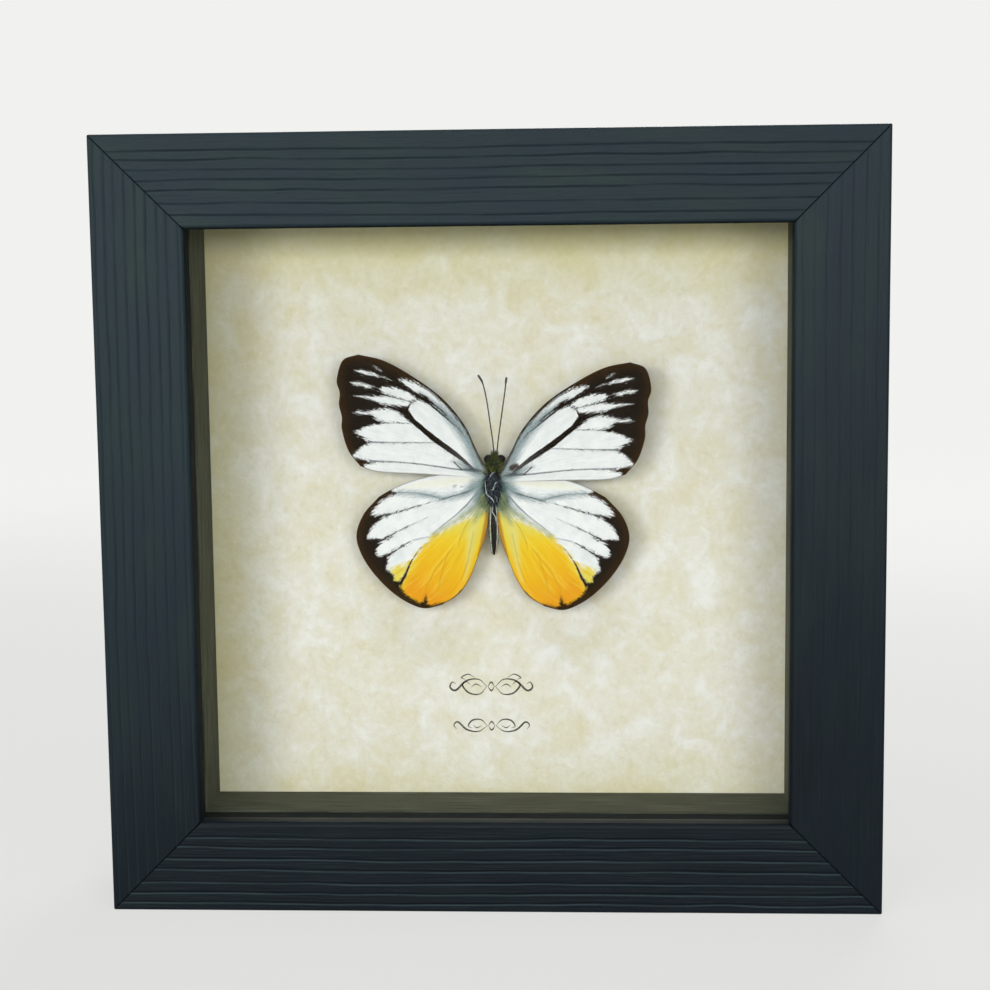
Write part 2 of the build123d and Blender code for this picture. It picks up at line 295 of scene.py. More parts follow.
def moulding_outline():
    """Closed outline of the rail, (inset from the outer face, depth from the front), in mm."""
    face_pitch, side_pitch = 0.10, 0.30
    corners = [
        arc((arris_radius, rail_depth - back_radius), back_radius, 90, 180),
        arc((arris_radius, arris_radius), arris_radius, 180, 270),
        arc((face_width - sight_radius, sight_radius), sight_radius, 270, 360),
        [(face_width, lip_thickness)], [(rabbet_inset, lip_thickness)], [(rabbet_inset, rail_depth)],
    ]
    corners[0] = [(x - arris_radius + back_radius, y) for x, y in corners[0]]
    pitches = [side_pitch, face_pitch, 1.0, 3.0, 4.0, 1.5]
    outline = []
    for corner, following, pitch in zip(corners, corners[1:] + corners[:1], pitches):
        outline += corner + run(corner[-1], following[0], pitch)
    return outline


outline = moulding_outline()
print("outline points:", len(outline), "rail:", round(face_width, 2), "x", round(rail_depth, 2))


# %% Depth of the grain
groove_depth = 0.22
lip_offset, lip_width = 0.30, 0.19
side_rings = [-2.4 * k - 0.5 * math.sin(1.7 * k) for k in range(1, 15)]
FACE_RINGS = {
    # half width of a groove, and the insets of the grooves from the outer edge
    "rail_top": (0.17, [3.3, 5.1, 7.1, 9.0, 10.9, 13.4, 15.7]),
    "rail_bottom": (0.13, [1.8, 3.8, 5.9, 8.4, 10.6, 13.0, 14.9]),
    "rail_left": (0.34, [1.0, 2.9, 4.7, 6.7, 8.8, 10.8, 12.9, 14.7, 16.9]),
    "rail_right": (0.22, [2.2, 4.6, 7.0, 9.2, 11.8, 14.0, 16.3]),
}


def grain_depth(across, along, seed, width, rings, strength, lit):
    """Depth of the brushed wood below its face in mm, its groove, and its lit lip for a painted highlight."""
    wander = 0.50 * noise.noise((along / 60, across / 40, seed))
    wander += 0.10 * noise.noise((along / 8, across / 5, seed + 3))
    groove_and_shade = lip_and_highlight = 0.0
    for i, ring in enumerate(rings):
        offset = across + wander - ring
        if abs(offset) < 1.0:
            offset += 0.22 * noise.noise((along / 13, i * 5.1, seed + 5))
            presence = 0.82 + 0.55 * noise.noise((along / 22, i * 7.3, seed + 9))
            presence += 0.30 * noise.noise((along / 4, i * 3.1, seed + 12))
            presence = min(max(presence, 0.25), 1.0)
            groove_and_shade = max(groove_and_shade, presence * math.exp(-((offset / width) ** 2)))
            # The lip on the lit side of a groove: raised a little, and given a painted highlight by the paint.
            beside = (offset - math.copysign(lip_offset, lit)) / lip_width
            lip_and_highlight = max(lip_and_highlight, presence * abs(lit) * math.exp(-(beside ** 2)))
    fibre = 0.02 * noise.noise((along / 7, across / 0.5, seed + 20))
    swell = 0.06 * noise.noise((along / 25, across / 2.5, seed + 31))
    sink = strength * (groove_depth * (groove_and_shade - 0.25 * lip_and_highlight) + fibre + swell)
    return sink, strength * groove_and_shade, lip_and_highlight


# %% Sweep the four rails
rail_gap = 0.03              # half the gap that is left open at a mitre
mitre_ease = (0.14, 0.10)    # depth and width of the softened edge at a mitre
end_steps = [0.0, 0.08, 0.18, 0.32, 0.55, 0.9]


def drawn_out(mesh, ring, edges, step, count, capped=True):
    """Repeats a ring of vertices along a step, and closes both ends."""
    end = bmesh.ops.spin(
        mesh, geom=ring + edges, cent=(0, 0, 0), axis=Vector(step).normalized(), dvec=step, angle=0,
        steps=count, use_merge=False, use_duplicate=False,
    )["geom_last"]
    if capped:
        last = [e for e in end if isinstance(e, bmesh.types.BMEdge)]
        bmesh.ops.edgeloop_fill(mesh, edges=edges)
        bmesh.ops.edgeloop_fill(mesh, edges=last)


def rail_steps(length):
    """Distances along a rail: close together at the mitres, even between them."""
    middle = np.linspace(end_steps[-1], length - end_steps[-1], 96)
    return [*end_steps[:-1], *middle, *[length - s for s in reversed(end_steps[:-1])]]


def sweep_rail(name, length, seed, strength, lit, coat, sight_shade_width):
    """A grooved rail along X, its outer face at Z 0 and its front at Y 0, in mm."""
    steps = rail_steps(length)
    mesh = bmesh.new()
    ring = [mesh.verts.new((0, depth, inset)) for inset, depth in outline]
    edges = [mesh.edges.new((a, b)) for a, b in zip(ring, ring[1:] + ring[:1])]
    drawn_out(mesh, ring, edges, (1, 0, 0), len(steps) - 1)
    bmesh.ops.recalc_face_normals(mesh, faces=mesh.faces)
    mesh.normal_update()
    layers = [mesh.verts.layers.float.new(layer) for layer in ("along", "across", "groove_and_shade", "lip_and_highlight", "coat")]
    width, rings = FACE_RINGS[name]
    for vert in mesh.verts:
        step = steps[round(vert.co.x)] / length
        inset, depth = vert.co.z, vert.co.y
        half = length / 2 - inset - rail_gap * math.sqrt(2)
        along = half * (2 * step - 1)
        across = inset - depth
        normal = vert.normal.copy()
        normal.x = 0
        seen = inset < face_width - 0.1 and (depth < lip_thickness * 0.5 or inset < 0.5)
        sink = groove_and_shade = lip_and_highlight = 0.0
        if seen:
            depth_here = strength if depth < 1 else 0.8
            sink, groove_and_shade, lip_and_highlight = grain_depth(across, along, seed, width, rings + side_rings, depth_here, lit)
        from_end = half - abs(along)
        sink += mitre_ease[0] * math.exp(-((from_end / mitre_ease[1]) ** 2)) if seen else 0.0
        vert.co = Vector((along, depth, inset)) - normal.normalized() * max(sink, 0.0)
        joint = 0.65 + 0.6 * noise.noise((inset / 2.5, seed, 0.3))
        groove_and_shade = max(groove_and_shade, joint * math.exp(-((from_end / mitre_ease[1]) ** 2)))
        # Painted shade: the underside of the sight edge is marked fully dark, as if in shadow.
        if inset > face_width - sight_shade_width and depth > 0.2:
            groove_and_shade = 1.0
        # coat is painted shade and sheen, not a thickness of paint: it darkens the bottom rail and the lower ends of
        # the side rails.
        first, final, power = coat
        values = along + 40 * seed, across, groove_and_shade, lip_and_highlight, first + (final - first) * step ** power
        for layer, value in zip(layers, values):
            vert[layer] = value
    return mesh


RAILS = {
    # place of its outer edge, turn, length, then the grain: its seed, its strength, how strongly and
    # on which side a groove has a lit lip with a painted highlight, how much painted shade the paint
    # gets at the rail's two ends and how it changes between them (painted shade and sheen, not a
    # thickness of paint), and how wide the painted shade under the sight edge is
    "rail_bottom": ((0, 0, 0), 0, outer_width, 1.0, 0.9, -1.0, (1.0, 1.0, 1.0), 0.0),
    "rail_top": ((0, 0, outer_height), 180, outer_width, 2.0, 0.60, 0.35, (0.36, 0.20, 1.0), 0.80),
    "rail_left": ((-outer_width / 2, 0, outer_height / 2), 90, outer_height,
                  3.0, 0.45, 0.5, (0.20, 0.98, 2.2), 0.06),
    "rail_right": ((outer_width / 2, 0, outer_height / 2), -90, outer_height,
                   4.0, 0.25, 0.2, (1.10, 0.34, 1.0), 0.06),
}


def join(mesh, part):
    """Adds a finished part to a mesh."""
    data = bpy.data.meshes.new("part")
    part.to_mesh(data)
    part.free()
    mesh.from_mesh(data)
    bpy.data.meshes.remove(data)


def finish_piece(name, mesh, body, replaced=(), smooth=True, material=None):
    """Makes the object of a finished mesh that is in millimetres, and seats it in the frame."""
    data = bpy.data.meshes.new(name)
    bmesh.ops.scale(mesh, vec=(MM, MM, MM), verts=mesh.verts)
    mesh.to_mesh(data)
    mesh.free()
    data.shade_smooth() if smooth else data.shade_flat()
    piece = bpy.data.objects.new(name, data)
    bpy.context.collection.objects.link(piece)
    if material:
        data.materials.append(bpy.data.materials[material])
    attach(piece, body)
    if replaced:
        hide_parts(*replaced)
    return piece


# %% [markdown]
# The paint is a nearly black blue-green with a soft satin sheen. Each rail's paint also carries
# painted shade and sheen: the top rail is painted lighter, and the bottom rail and the lower ends of
# the side rails darker. The grooves and the underside of the sight edge are painted darker as
# painted shade, a painted highlight runs along the lit lip of each groove, the mitres show as dark
# joints, patches of fibre are rubbed slightly paler, pale specks of dust lie over it, and the fine
# fibre of the wood shows through the thin coat. The two attributes that the sweep stored, along and
# across the rail, carry the pattern, so that it turns at each mitre as the wood does.

# %% Painted wood
material, tree, shader = new_material("painted softwood")
along = stored(tree, "along")
across = stored(tree, "across")
wood = place_group(tree, fibre_group, Along=along, Across=across)
flat_place = add(tree, "CombineXYZ", {"X": along, "Y": across}).outputs[0]
patches = cloud(stretched(flat_place, 30, 6, 1), 1.0, detail=3.0)
groove_and_shade, lip_and_highlight, coat = (stored(tree, n) for n in ("groove_and_shade", "lip_and_highlight", "coat"))
# Lit and shaded copies of the paint: coat blends them as painted shade and sheen for each rail.
paint_with_painted_sheen = ramp(patches, (0.30, "#1d2b33"), (0.52, "#202f34"), (0.74, "#263533"))
paint_with_painted_shade = ramp(patches, (0.30, "#030c14"), (0.52, "#051017"), (0.74, "#0b151a"))
paint = blend(coat, paint_with_painted_sheen, paint_with_painted_shade)
worn = fade(wood["Fibre"], 0.52, 0.75)
paint = tinted(paint, worn, 0.12, "#34474c")
paint = tinted(paint, wood["Pores"], 0.22, "#0a1013")
# Painted highlight along the lit lip of each groove.
paint = tinted(paint, fade(lip_and_highlight, 0.1, 0.9), 0.50, "#32454b")
# Painted shade in the grooves and under the sight edge, together with the dark mitre joints.
paint = tinted(paint, fade(groove_and_shade, 0.05, 0.9), 0.85, "#070b0d")
specks = place_group(tree, dust_group, Place=millimetres(tree), Spacing=7.0, Speck=0.14, Share=0.16)
paint = tinted(paint, specks["Dust"], 0.55, "#a9b4b6")
height = add(tree, "SeparateXYZ", {0: millimetres(tree)}).outputs["Y"]
ragged = calc("MULTIPLY_ADD", wood["Fibre"], 0.8, height)
bare = ramp(wood["Fibre"], (0.35, "#a98455"), (0.50, "#c19d6c"), (0.70, "#cfb081"))
paint = blend(fade(ragged, back_y - 0.2, back_y + 0.1), paint, bare)
gloss = add(tree, "MapRange", {"Value": wood["Fibre"], "To Min": 0.40, "To Max": 0.56}).outputs[0]
finish(shader, paint, calc("MULTIPLY_ADD", groove_and_shade, 0.35, gloss), 0.12, wood["Fibre"], 0.00010)

for name, (origin, turn, length, *grain) in RAILS.items():
    mesh = sweep_rail(name, length, *grain)
    place = Matrix.Translation(Vector(origin) + Vector((0, front_y, 0)))
    bmesh.ops.transform(mesh, matrix=place @ Matrix.Rotation(math.radians(turn), 4, "Y"), verts=mesh.verts)
    count = len(mesh.faces)
    finish_piece(f"brushed_{name}", mesh, "case", [name], material="painted softwood")
    print(name, "faces:", count)


# %% [markdown]
# ## Bead and liner
# Behind the glass a dark bead holds the pane, and behind the bead a strip of dark wood lines the wall
# down to the paper; its olive tone is a painted reflection of the cream paper. They are straight
# strips, so the CAD pieces stay as they are and only get a finish.
# Their grain runs along them, which for the upright strips is another axis, so one function makes
# both versions of each finish.

# %% Strip finishes
def strip_finish(name, upright, dark, light, streak, speck_share):
    """Thinly painted wood with its grain along X or Z."""
    _, tree, shader = new_material(name)
    place = millimetres(tree)
    axes = add(tree, "SeparateXYZ", {0: place}).outputs
    along, across = (axes["Z"], axes["X"]) if upright else (axes["X"], axes["Z"])
    wood = place_group(tree, fibre_group, Along=along, Across=across, Depth=axes["Y"])
    colour = ramp(wood["Fibre"], (0.36, dark), (0.64, light))
    colour = blend(calc("MULTIPLY", wood["Pores"], 0.5), colour, rgb(streak))
    specks = place_group(tree, dust_group, Place=place, Spacing=4.0, Speck=0.10, Share=speck_share)
    colour = tinted(colour, specks["Dust"], 0.5, "#b8b8a4")
    gloss = add(tree, "MapRange", {"Value": wood["Fibre"], "To Min": 0.70, "To Max": 0.90}).outputs[0]
    finish(shader, colour, gloss, 0.1, wood["Fibre"], 0.00003)


# The liner's olive colours are a painted reflection of the cream paper on dark wood.
LINER_REFLECTION_TONES = {"level": ("#33362b", "#595c4b"), "upright": ("#373a2f", "#606351")}
for upright, sides in ((False, ("top", "bottom")), (True, ("left", "right"))):
    way = "upright" if upright else "level"
    strip_finish(f"bead paint {way}", upright, "#0b1011", "#171d1d", "#060808", 0.06)
    strip_finish(f"liner with painted reflection {way}", upright, *LINER_REFLECTION_TONES[way], "#3f3023", 0.08)
    dress(f"bead paint {way}", *[f"glazing_bead_{side}" for side in sides])
    dress(f"liner with painted reflection {way}", *[f"liner_{side}" for side in sides])


# %% [markdown]
# ## Glass
# The pane is 2 mm picture glass. A refracting pane would block the lamps, because a shadow ray can't
# bend, so for shadow rays the glass is swapped for a transparent shader. A very faint film of dust
# roughens the surface here and there.

# %% Glass
material, tree, shader = new_material("picture glass")
fill(shader, {"Base Color": (1, 1, 1, 1), "Transmission Weight": 1.0, "IOR": 1.12})
film = fade(cloud(millimetres(tree), 35.0, detail=3.0), 0.55, 0.85)
fill(shader, {"Roughness": calc("MULTIPLY", film, 0.02)})
clear = add(tree, "BsdfTransparent")
rays = add(tree, "LightPath")
passing = calc("MAXIMUM", rays.outputs["Is Shadow Ray"], rays.outputs["Is Diffuse Ray"])
pane = add(tree, "MixShader", {0: passing, 1: shader.outputs[0], 2: clear.outputs[0]})
tree.links.new(pane.outputs[0], tree.nodes["Material Output"].inputs["Surface"])
dress("picture glass", "front_glass")


# %% [markdown]
# ## Parchment
# The backing is printed parchment paper: cream with cloudy white patches, fine grain, and a tan
# border that thickens towards the edges of the sheet. The border is partly the print's mottling and
# partly painted shade from the deep frame, and a narrow olive band right beside the walls is painted
# shade. Three sizes of noise give the clouds, and the distance to the nearest edge of the opening,
# itself bent by noise, gives the border.

# %% Parchment
paper_low, paper_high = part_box("backing_paper")
opening_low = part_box("liner_left")[1].x / MM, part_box("liner_bottom")[1].z / MM
opening_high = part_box("liner_right")[0].x / MM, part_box("liner_top")[0].z / MM
material, tree, shader = new_material("aged parchment")
place = millimetres(tree)
axes = add(tree, "SeparateXYZ", {0: place}).outputs
gaps = [calc("SUBTRACT", axes["X"], opening_low[0]), calc("SUBTRACT", opening_high[0], axes["X"]),
        calc("SUBTRACT", axes["Z"], opening_low[1]), calc("SUBTRACT", opening_high[1], axes["Z"])]
left_gap, right_gap, low_gap, top_gap = gaps
edge = calc("SMOOTH_MIN", calc("ADD", left_gap, 10.0), calc("ADD", right_gap, 21.0), 6.0)
edge = calc("SMOOTH_MIN", edge, calc("ADD", low_gap, 15.0), 6.0)
edge = calc("SMOOTH_MIN", edge, calc("ADD", top_gap, 4.0), 6.0)
wide = cloud(place, 22.0, detail=3.0, rough=0.55)
edge = calc("ADD", about(wide, 12.0), edge)
clouds = cloud(place, 6.5, detail=6.0, rough=0.66, warp=0.5)
paper = ramp(clouds, (0.30, "#dad6b8"), (0.44, "#dfdcc6"), (0.54, "#e2e1d2"),
             (0.64, "#e8e9df"), (0.76, "#ebede6"))
stain_and_shade_colour = ramp(wide, (0.35, "#c6be74"), (0.65, "#c4c27e"))
# The border: partly printed mottling, partly painted shade cast by the frame's walls.
edge_stain_and_shade = fade(edge, 27.0, 2.0)
paper = blend(calc("MULTIPLY", edge_stain_and_shade, 0.70), paper, stain_and_shade_colour)
# Painted shade: a narrow olive band right beside the walls.
wall_shade = fade(edge, 6.0, -3.0)
paper = tinted(paper, wall_shade, 0.45, "#a6a877")
grain = cloud(place, 1.4, detail=4.0, rough=0.65)
clean = calc("SUBTRACT", 0.34, calc("MULTIPLY", edge_stain_and_shade, 0.30))
paper = blend(calc("MULTIPLY", fade(grain, 0.52, 0.72), clean), paper, rgb("#f0f1ec"))
paper = tinted(paper, fade(grain, 0.46, 0.34), 0.10, "#a89f7c")
specks = place_group(tree, dust_group, Place=place, Spacing=13.0, Speck=0.16, Share=0.25)
paper = tinted(paper, specks["Dust"], 0.5, "#6d6a5a")
finish(shader, paper, 0.9, 0.2, grain, 0.00010)
dress("aged parchment", "backing_paper")


# %% [markdown]
# ## The wings
# A wing is a thin sheet inside four edges: the costa in front, the outer margin, the inner margin
# and the short root. A flat grid is stretched between them so that its rows run from the root to
# the margin, as the scales on a wing do. The helpers below round a line through a few points, take
# points at equal shares of its length, and measure how deep a place lies inside a line that has a
# width or inside a closed outline.

# %% Helpers for lines and areas
def smooth_line(points, steps=8):
    """A smooth curve through all the points."""
    points = np.array(points, float)
    padded = np.vstack([2 * points[0] - points[1], points, 2 * points[-1] - points[-2]])
    t = np.linspace(0, 1, steps, endpoint=False)[:, None]
    rows = []
    for a, b, c, d in zip(padded, padded[1:], padded[2:], padded[3:]):
        bend = (2 * a - 5 * b + 4 * c - d) * t ** 2 + (3 * b - a - 3 * c + d) * t ** 3
        rows.append((2 * b + (c - a) * t + bend) / 2)
    return np.vstack([*rows, points[-1:]])


def at_shares(line, shares):
    """Points at these shares of a line's length."""
    lengths = np.concatenate([[0], np.cumsum(np.linalg.norm(np.diff(line, axis=0), axis=1))])
    return np.column_stack([np.interp(shares * lengths[-1], lengths, line[:, i]) for i in (0, 1)])


def reach(points, path):
    """How deep points lie inside a line, given as (across, up, half its width) rows, in mm."""
    best = np.full(len(points), -9.0)
    for start, end in zip(np.array(path), np.array(path)[1:]):
        along = end[:2] - start[:2]
        share = np.clip((points - start[:2]) @ along / (along @ along), 0, 1)
        spot = start + share[:, None] * (end - start)
        best = np.maximum(best, spot[:, 2] - np.linalg.norm(points - spot[:, :2], axis=1))
    return best


def depth_inside(points, outline):
    """Distance to a closed outline, positive inside it."""
    distance = -reach(points, [(*p, 0.0) for p in [*outline, outline[0]]])
    within = np.zeros(len(points), bool)
    for (u0, v0), (u1, v1) in zip(outline, [*outline[1:], outline[0]]):
        if v0 != v1:
            level = (v0 > points[:, 1]) != (v1 > points[:, 1])
            within ^= level & (points[:, 0] < (u1 - u0) * (points[:, 1] - v0) / (v1 - v0) + u0)
    return np.where(within, distance, -distance)


def deepest(points, measure, shapes):
    """The deepest that each point lies inside any of the shapes."""
    return np.max([measure(points, shape) for shape in shapes], axis=0)


# %% [markdown]
# All places are in millimetres, across from the middle of the body and up from the middle of the
# thorax. The forewing is dark, with light areas between its veins; the hindwing is light, with a
# dark margin that reaches inwards along the veins, and a yellow field beside the abdomen.

# %% Forewing pattern
def places(text):
    """The places in a text: across and up, and half the width where it is a line."""
    return [tuple(float(number) for number in place.split()) for place in text.split(",")]


FOREWING = {
    "costa": "1 3.2, 3.4 7.5, 6 12.8, 10.5 18.1, 16.5 22.4, 22.3 25.5, 27.5 26.7",
    "margin": "27.5 26.7, 30.6 25.5, 31.8 21.5, 31.2 19, 31.35 16.5, 30.75 14, 30.75 11.5, 29.4 7.2, 27 4.1",
    "inner": "1 2, 15 2.6, 23.5 3, 27 4.1",
    "areas": [
        "17.5 15.7, 17 16.8, 15.4 17.8, 12.1 16.5, 8.6 13.7, 5.2 10, 3.4 6.5, 2.3 4.2, 1.8 3.2, 4.2 4, "
        "7.8 6.9, 12.1 9.9, 16.3 13.4",
        "23.3 19.8, 22.4 20.3, 19.6 20.1, 17.3 19.2, 15.6 18, 16.1 17.4, 18.2 17.6, 20.3 18.4, 22.2 19.1",
        "25.9 18, 23.8 18.4, 21 18.3, 18.6 17.6, 16.8 17.2, 17.5 16.4, 20.3 16.6, 22.9 16.9",
        "25.4 15.1, 24.3 15.7, 21.7 15.8, 19.6 15.4, 18.2 14.3, 16.7 12.9, 21.4 12.95, 23.3 13.5",
        "28.2 10.9, 26.8 11.7, 24.9 12.5, 21.4 13, 16.5 13, 14.4 11.6, 11.6 9, 20.5 8.9, 24.2 8.9, "
        "26.1 9.7",
        "28.4 6.1, 27.9 7, 26.3 8.3, 24.9 9, 15.6 9.1, 11.8 9.2, 7.8 6.4, 4.8 4, 8 3.6, 14.4 4.5, "
        "19.1 4.95, 25.4 5.2",
        "26.3 4.2, 24.9 4.8, 22.3 5.2, 17.9 5.1, 12 4.4, 2.2 3.2, 1.4 1.2, 16.7 1.2, 24.9 2.6, 26 3.6",
    ],
    "streaks": [
        "19.1 21.8 0.1, 18 21.3 0.5, 15.9 20.3 0.75, 13.3 18.9 0.7, 10.6 16.6 0.62, 8.2 14 0.6, "
        "6 11.2 0.5, 4.5 8.2 0.3",
        "28.3 23.5 -0.05, 27 23.3 0.28, 25 22.9 0.3, 23.2 22.4 0.06, 20.6 21.6 -0.12",
        "28.8 20.9 -0.05, 27.6 20.8 0.24, 25.6 20.4 0.24, 24 20 0.02, 23 19.8 0.05",
        "24.8 24.5 -0.15, 23.9 24.1 0.02, 22.7 23.6 -0.12",
        "28.2 18.3 -0.15, 27 18.3 0.02, 25.2 18.1 0.22",
        "28.5 15 -0.05, 27.4 15.1 0.26, 26 15 0.16, 24.6 15.1 0.4",
    ],
    "dark": [
        "17.7 15.4 0.46, 16.3 13.4 0.5, 12.1 9.9 0.58, 7.8 6.9 0.48, 5.6 5.2 0.28, 4.2 4.1 0.08",
        "17.4 16 0.22, 16.9 17 0.05",
        "18.9 20.3 0.2, 16.2 18.9 0.16, 13 16.9 0.14, 10.2 14.6 0.14, 7.6 12.3 0.05",
        "8 5.2 0.12, 6.4 3.6 0.1",
    ],
    "veins": [
        "17 13 0.03, 22 13 0.05, 24 13 0.14",
        "12 9.1 0.04, 20 9.05 0.06, 25 9.05 0.15",
        "3 3.2 0.16, 8.5 3.85 0.12, 14.4 4.65 0.09, 19.1 5.05 0.08, 25 5.25 0.12",
        "16 17.9 0.06, 17 17 0.06",
        "16.6 17.2 0.03, 20.8 18.4 0.06",
        "2.2 4.6 0.16, 3.6 8 0.2, 6 12.4 0.22, 10.4 17.7 0.24, 14.6 20.8 0.3",
    ],
    "dusted": [
        "15 18.9 0.1, 11 16.2 0.7, 7.6 13 1.1, 5 9.2 1.1, 3.6 5.6 1, 2.8 3.4 1.1",
        "8.2 5.4 0.1, 6 4.4 0.6, 3.6 3.2 1, 1.5 2.6 1.2",
    ],
    "yellow": [],
    "pale": [],
    "fold": [],
}

# %% Hindwing pattern
HINDWING = {
    "costa": "0.9 1.9, 4 2.5, 9 2.9, 14 2.2, 18.9 0.7, 23.2 -1.6",
    "margin": "23.2 -1.6, 26.4 -5.1, 28 -9.2, 27.3 -13, 25 -17, 21.9 -20.5, 18.6 -23.1, 14.6 -24.8, 10.8 -24.1",
    "inner": "1 -2.6, 1.35 -7.8, 2.1 -11.2, 3.3 -14.4, 5 -18.6, 7.4 -22, 10.8 -24.1",
    "areas": [
        "-1 6, 20.6 4, 21.2 -0.2, 20.3 -0.6, 19.5 -0.9, 21.4 -1.7, 23.1 -2.8, 24.1 -4, 25 -5.4, 24.3 -5.5, "
        "22.5 -5.3, 19.8 -4.75, 15 -3.5, 19.8 -5.05, 22.5 -5.95, 23.2 -6.5, 24.6 -7.8, 25.7 -9.9, "
        "25.2 -10.2, 23.2 -10.3, 21 -9.3, 17.5 -7.8, 21 -9.7, 22.8 -10.85, 23.3 -11.3, 24.1 -12.7, "
        "23.9 -13.9, 23.2 -13.95, 20.7 -12.75, 17 -10.9, 20.6 -13.2, 21.8 -14.2, 21.6 -14.9, 22.1 -16.3, "
        "20.9 -17.5, 20.4 -19, 19.3 -18.9, 18.4 -17.6, 17.3 -15.7, 18.1 -17.9, 18.9 -19.4, 19.3 -20.5, "
        "17.5 -22.4, 15.3 -23.5, 14.6 -23.4, 14.1 -21.8, 14 -23.6, 13 -24.15, 9.1 -23.25, 6.8 -21.2, "
        "4 -24, -1 -20",
    ],
    "streaks": [],
    "dark": [
        "14 -11 0.04, 16 -13.6 0.1, 17.3 -15.7 0.15, 18.2 -17.9 0.2, 19.2 -19.6 0.26",
        "5.2 -0.75 0.07, 8.4 -1.7 0.05, 12.6 -2.8 0.06, 16 -3.7 0.08, 19 -4.7 0.12",
        "16.5 -10.6 0.06, 19 -11.8 0.12",
    ],
    "veins": [
        "3.2 0.3 0.1, 5.6 -1 0.14, 8.4 -1.7 0.1, 10.5 -2.2 0.1, 12.6 -1.5 0.12, 15.6 -0.9 0.08, "
        "19.5 -0.8 0.1",
        "3.2 -0.9 0.1, 5.4 -3.4 0.14, 7.4 -5.3 0.1, 10.6 -7.8 0.06, 13.1 -9.9 0.07, 16.5 -10.6 0.1",
        "13.2 -5.8 0.02, 16 -7.1 0.05, 18.6 -8.3 0.1",
        "8.4 -12.2 0.05, 12 -16.6 0.07, 14.2 -21 0.09",
        "9.4 -13 0.04, 10.9 -18 0.06, 11.6 -21 0.03",
        "5 -6.4 0.03, 7 -10.4 0.05, 7.4 -12.4 0.02",
        "4.2 -9 0.02, 5.4 -15 0.05, 7 -19.5 0.03",
    ],
    "dusted": [
        "3.2 1.2 0.8, 2.6 -1 1.7, 2.8 -3.4 1.6, 3.2 -5 1, 4 -7 0.1",
        "3.4 -3.8 1.2, 5.4 -5.2 0.6, 8.4 -7 0.2, 12 -9.4 0.1",
        "3.6 0.4 1.3, 5.2 -0.8 0.9, 6.6 -1.5 0.5, 10.5 -2.1 0.55, 14 -1.3 0.45, 19 -0.9 0.35",
    ],
    "yellow": [
        "1.6 -4.2, 3.4 -5.3, 6.6 -6.7, 9.8 -8.3, 12.7 -9.9, 14.2 -11.2, 15.7 -13.1, 17 -15.3, 18.2 -17.4, "
        "19.4 -19.4, 20.5 -22, 15 -26, -2 -26, -2 -4",
        "16.6 -14.6, 18 -15.4, 19.6 -15.9, 21 -16.6, 21.2 -19, 19.4 -19.6",
    ],
    "pale": [
        "3 -4.5 1.1, 4.4 -9 1.1, 5 -14 0.7, 6 -19 0.1",
        "4 1.7 0.5, 10 1.1 0.9, 15 0.7 0.7, 18 0.1 0.2",
    ],
    # Painted shade of the real butterfly's turned-down inner margin: the sheet here stays flat and is painted
    # amber-brown.
    "fold": [
        "1.2 -4 0.2, 1.5 -7.8 0.6, 2.3 -11.2 0.5, 3.4 -14 0.1",
    ],
}

for pattern in (FOREWING, HINDWING):
    for name, shapes in pattern.items():
        pattern[name] = places(shapes) if isinstance(shapes, str) else [places(shape) for shape in shapes]


# %% [markdown]
# The sheet isn't flat. It bows a little from root to tip, it has a shallow trough between the veins,
# and the veins stand above it. The depths inside the pattern's areas are stored on each vertex, and
# the material turns them into colours, with noise that frays the borders along the rows of scales.

# %% Build the wings
THICKNESS = 0.14
thorax_y, specimen = 2.745, (-0.4, 81.9)
SETTINGS = {
    "forewing_left": (FOREWING, -1, (1.25, 0.0, 0.0), 2.145),
    "forewing_right": (FOREWING, 1, (-1.25, -0.2, -0.8), 2.145),
    "hindwing_left": (HINDWING, -1, (0.0, 0.0, 0.0), 2.645),
    "hindwing_right": (HINDWING, 1, (0.0, -0.4, -0.4), 2.645),
}
SPOTS = {"hindwing_left": [[(7.6, 0.4, 0.10), (8.1, 0.2, 0.18)], [(6.4, 0.3, 0.02), (6.6, 0.3, 0.02)]],
         "forewing_right": [[(4.0, 4.9, 0.72), (4.8, 5.35, 0.68)]]}
LAYERS = ("light", "dark", "vein", "dusted", "smudge", "yellow", "warm", "pale", "fold", "edge", "along", "across")


def spread(pattern, s, t):
    """Places of the grid points inside the wing's four edges."""
    costa, margin, inner = (smooth_line(pattern[edge]) for edge in ("costa", "margin", "inner"))
    root = np.array([costa[0], inner[0]])
    near, far = s[:, None], t[:, None]
    flat = (1 - far) * at_shares(costa, s) + far * at_shares(inner, s)
    flat += (1 - near) * at_shares(root, t) + near * at_shares(margin, t)
    corners = (1 - near) * ((1 - far) * costa[0] + far * inner[0])
    return flat - corners - near * ((1 - far) * costa[-1] + far * inner[-1])


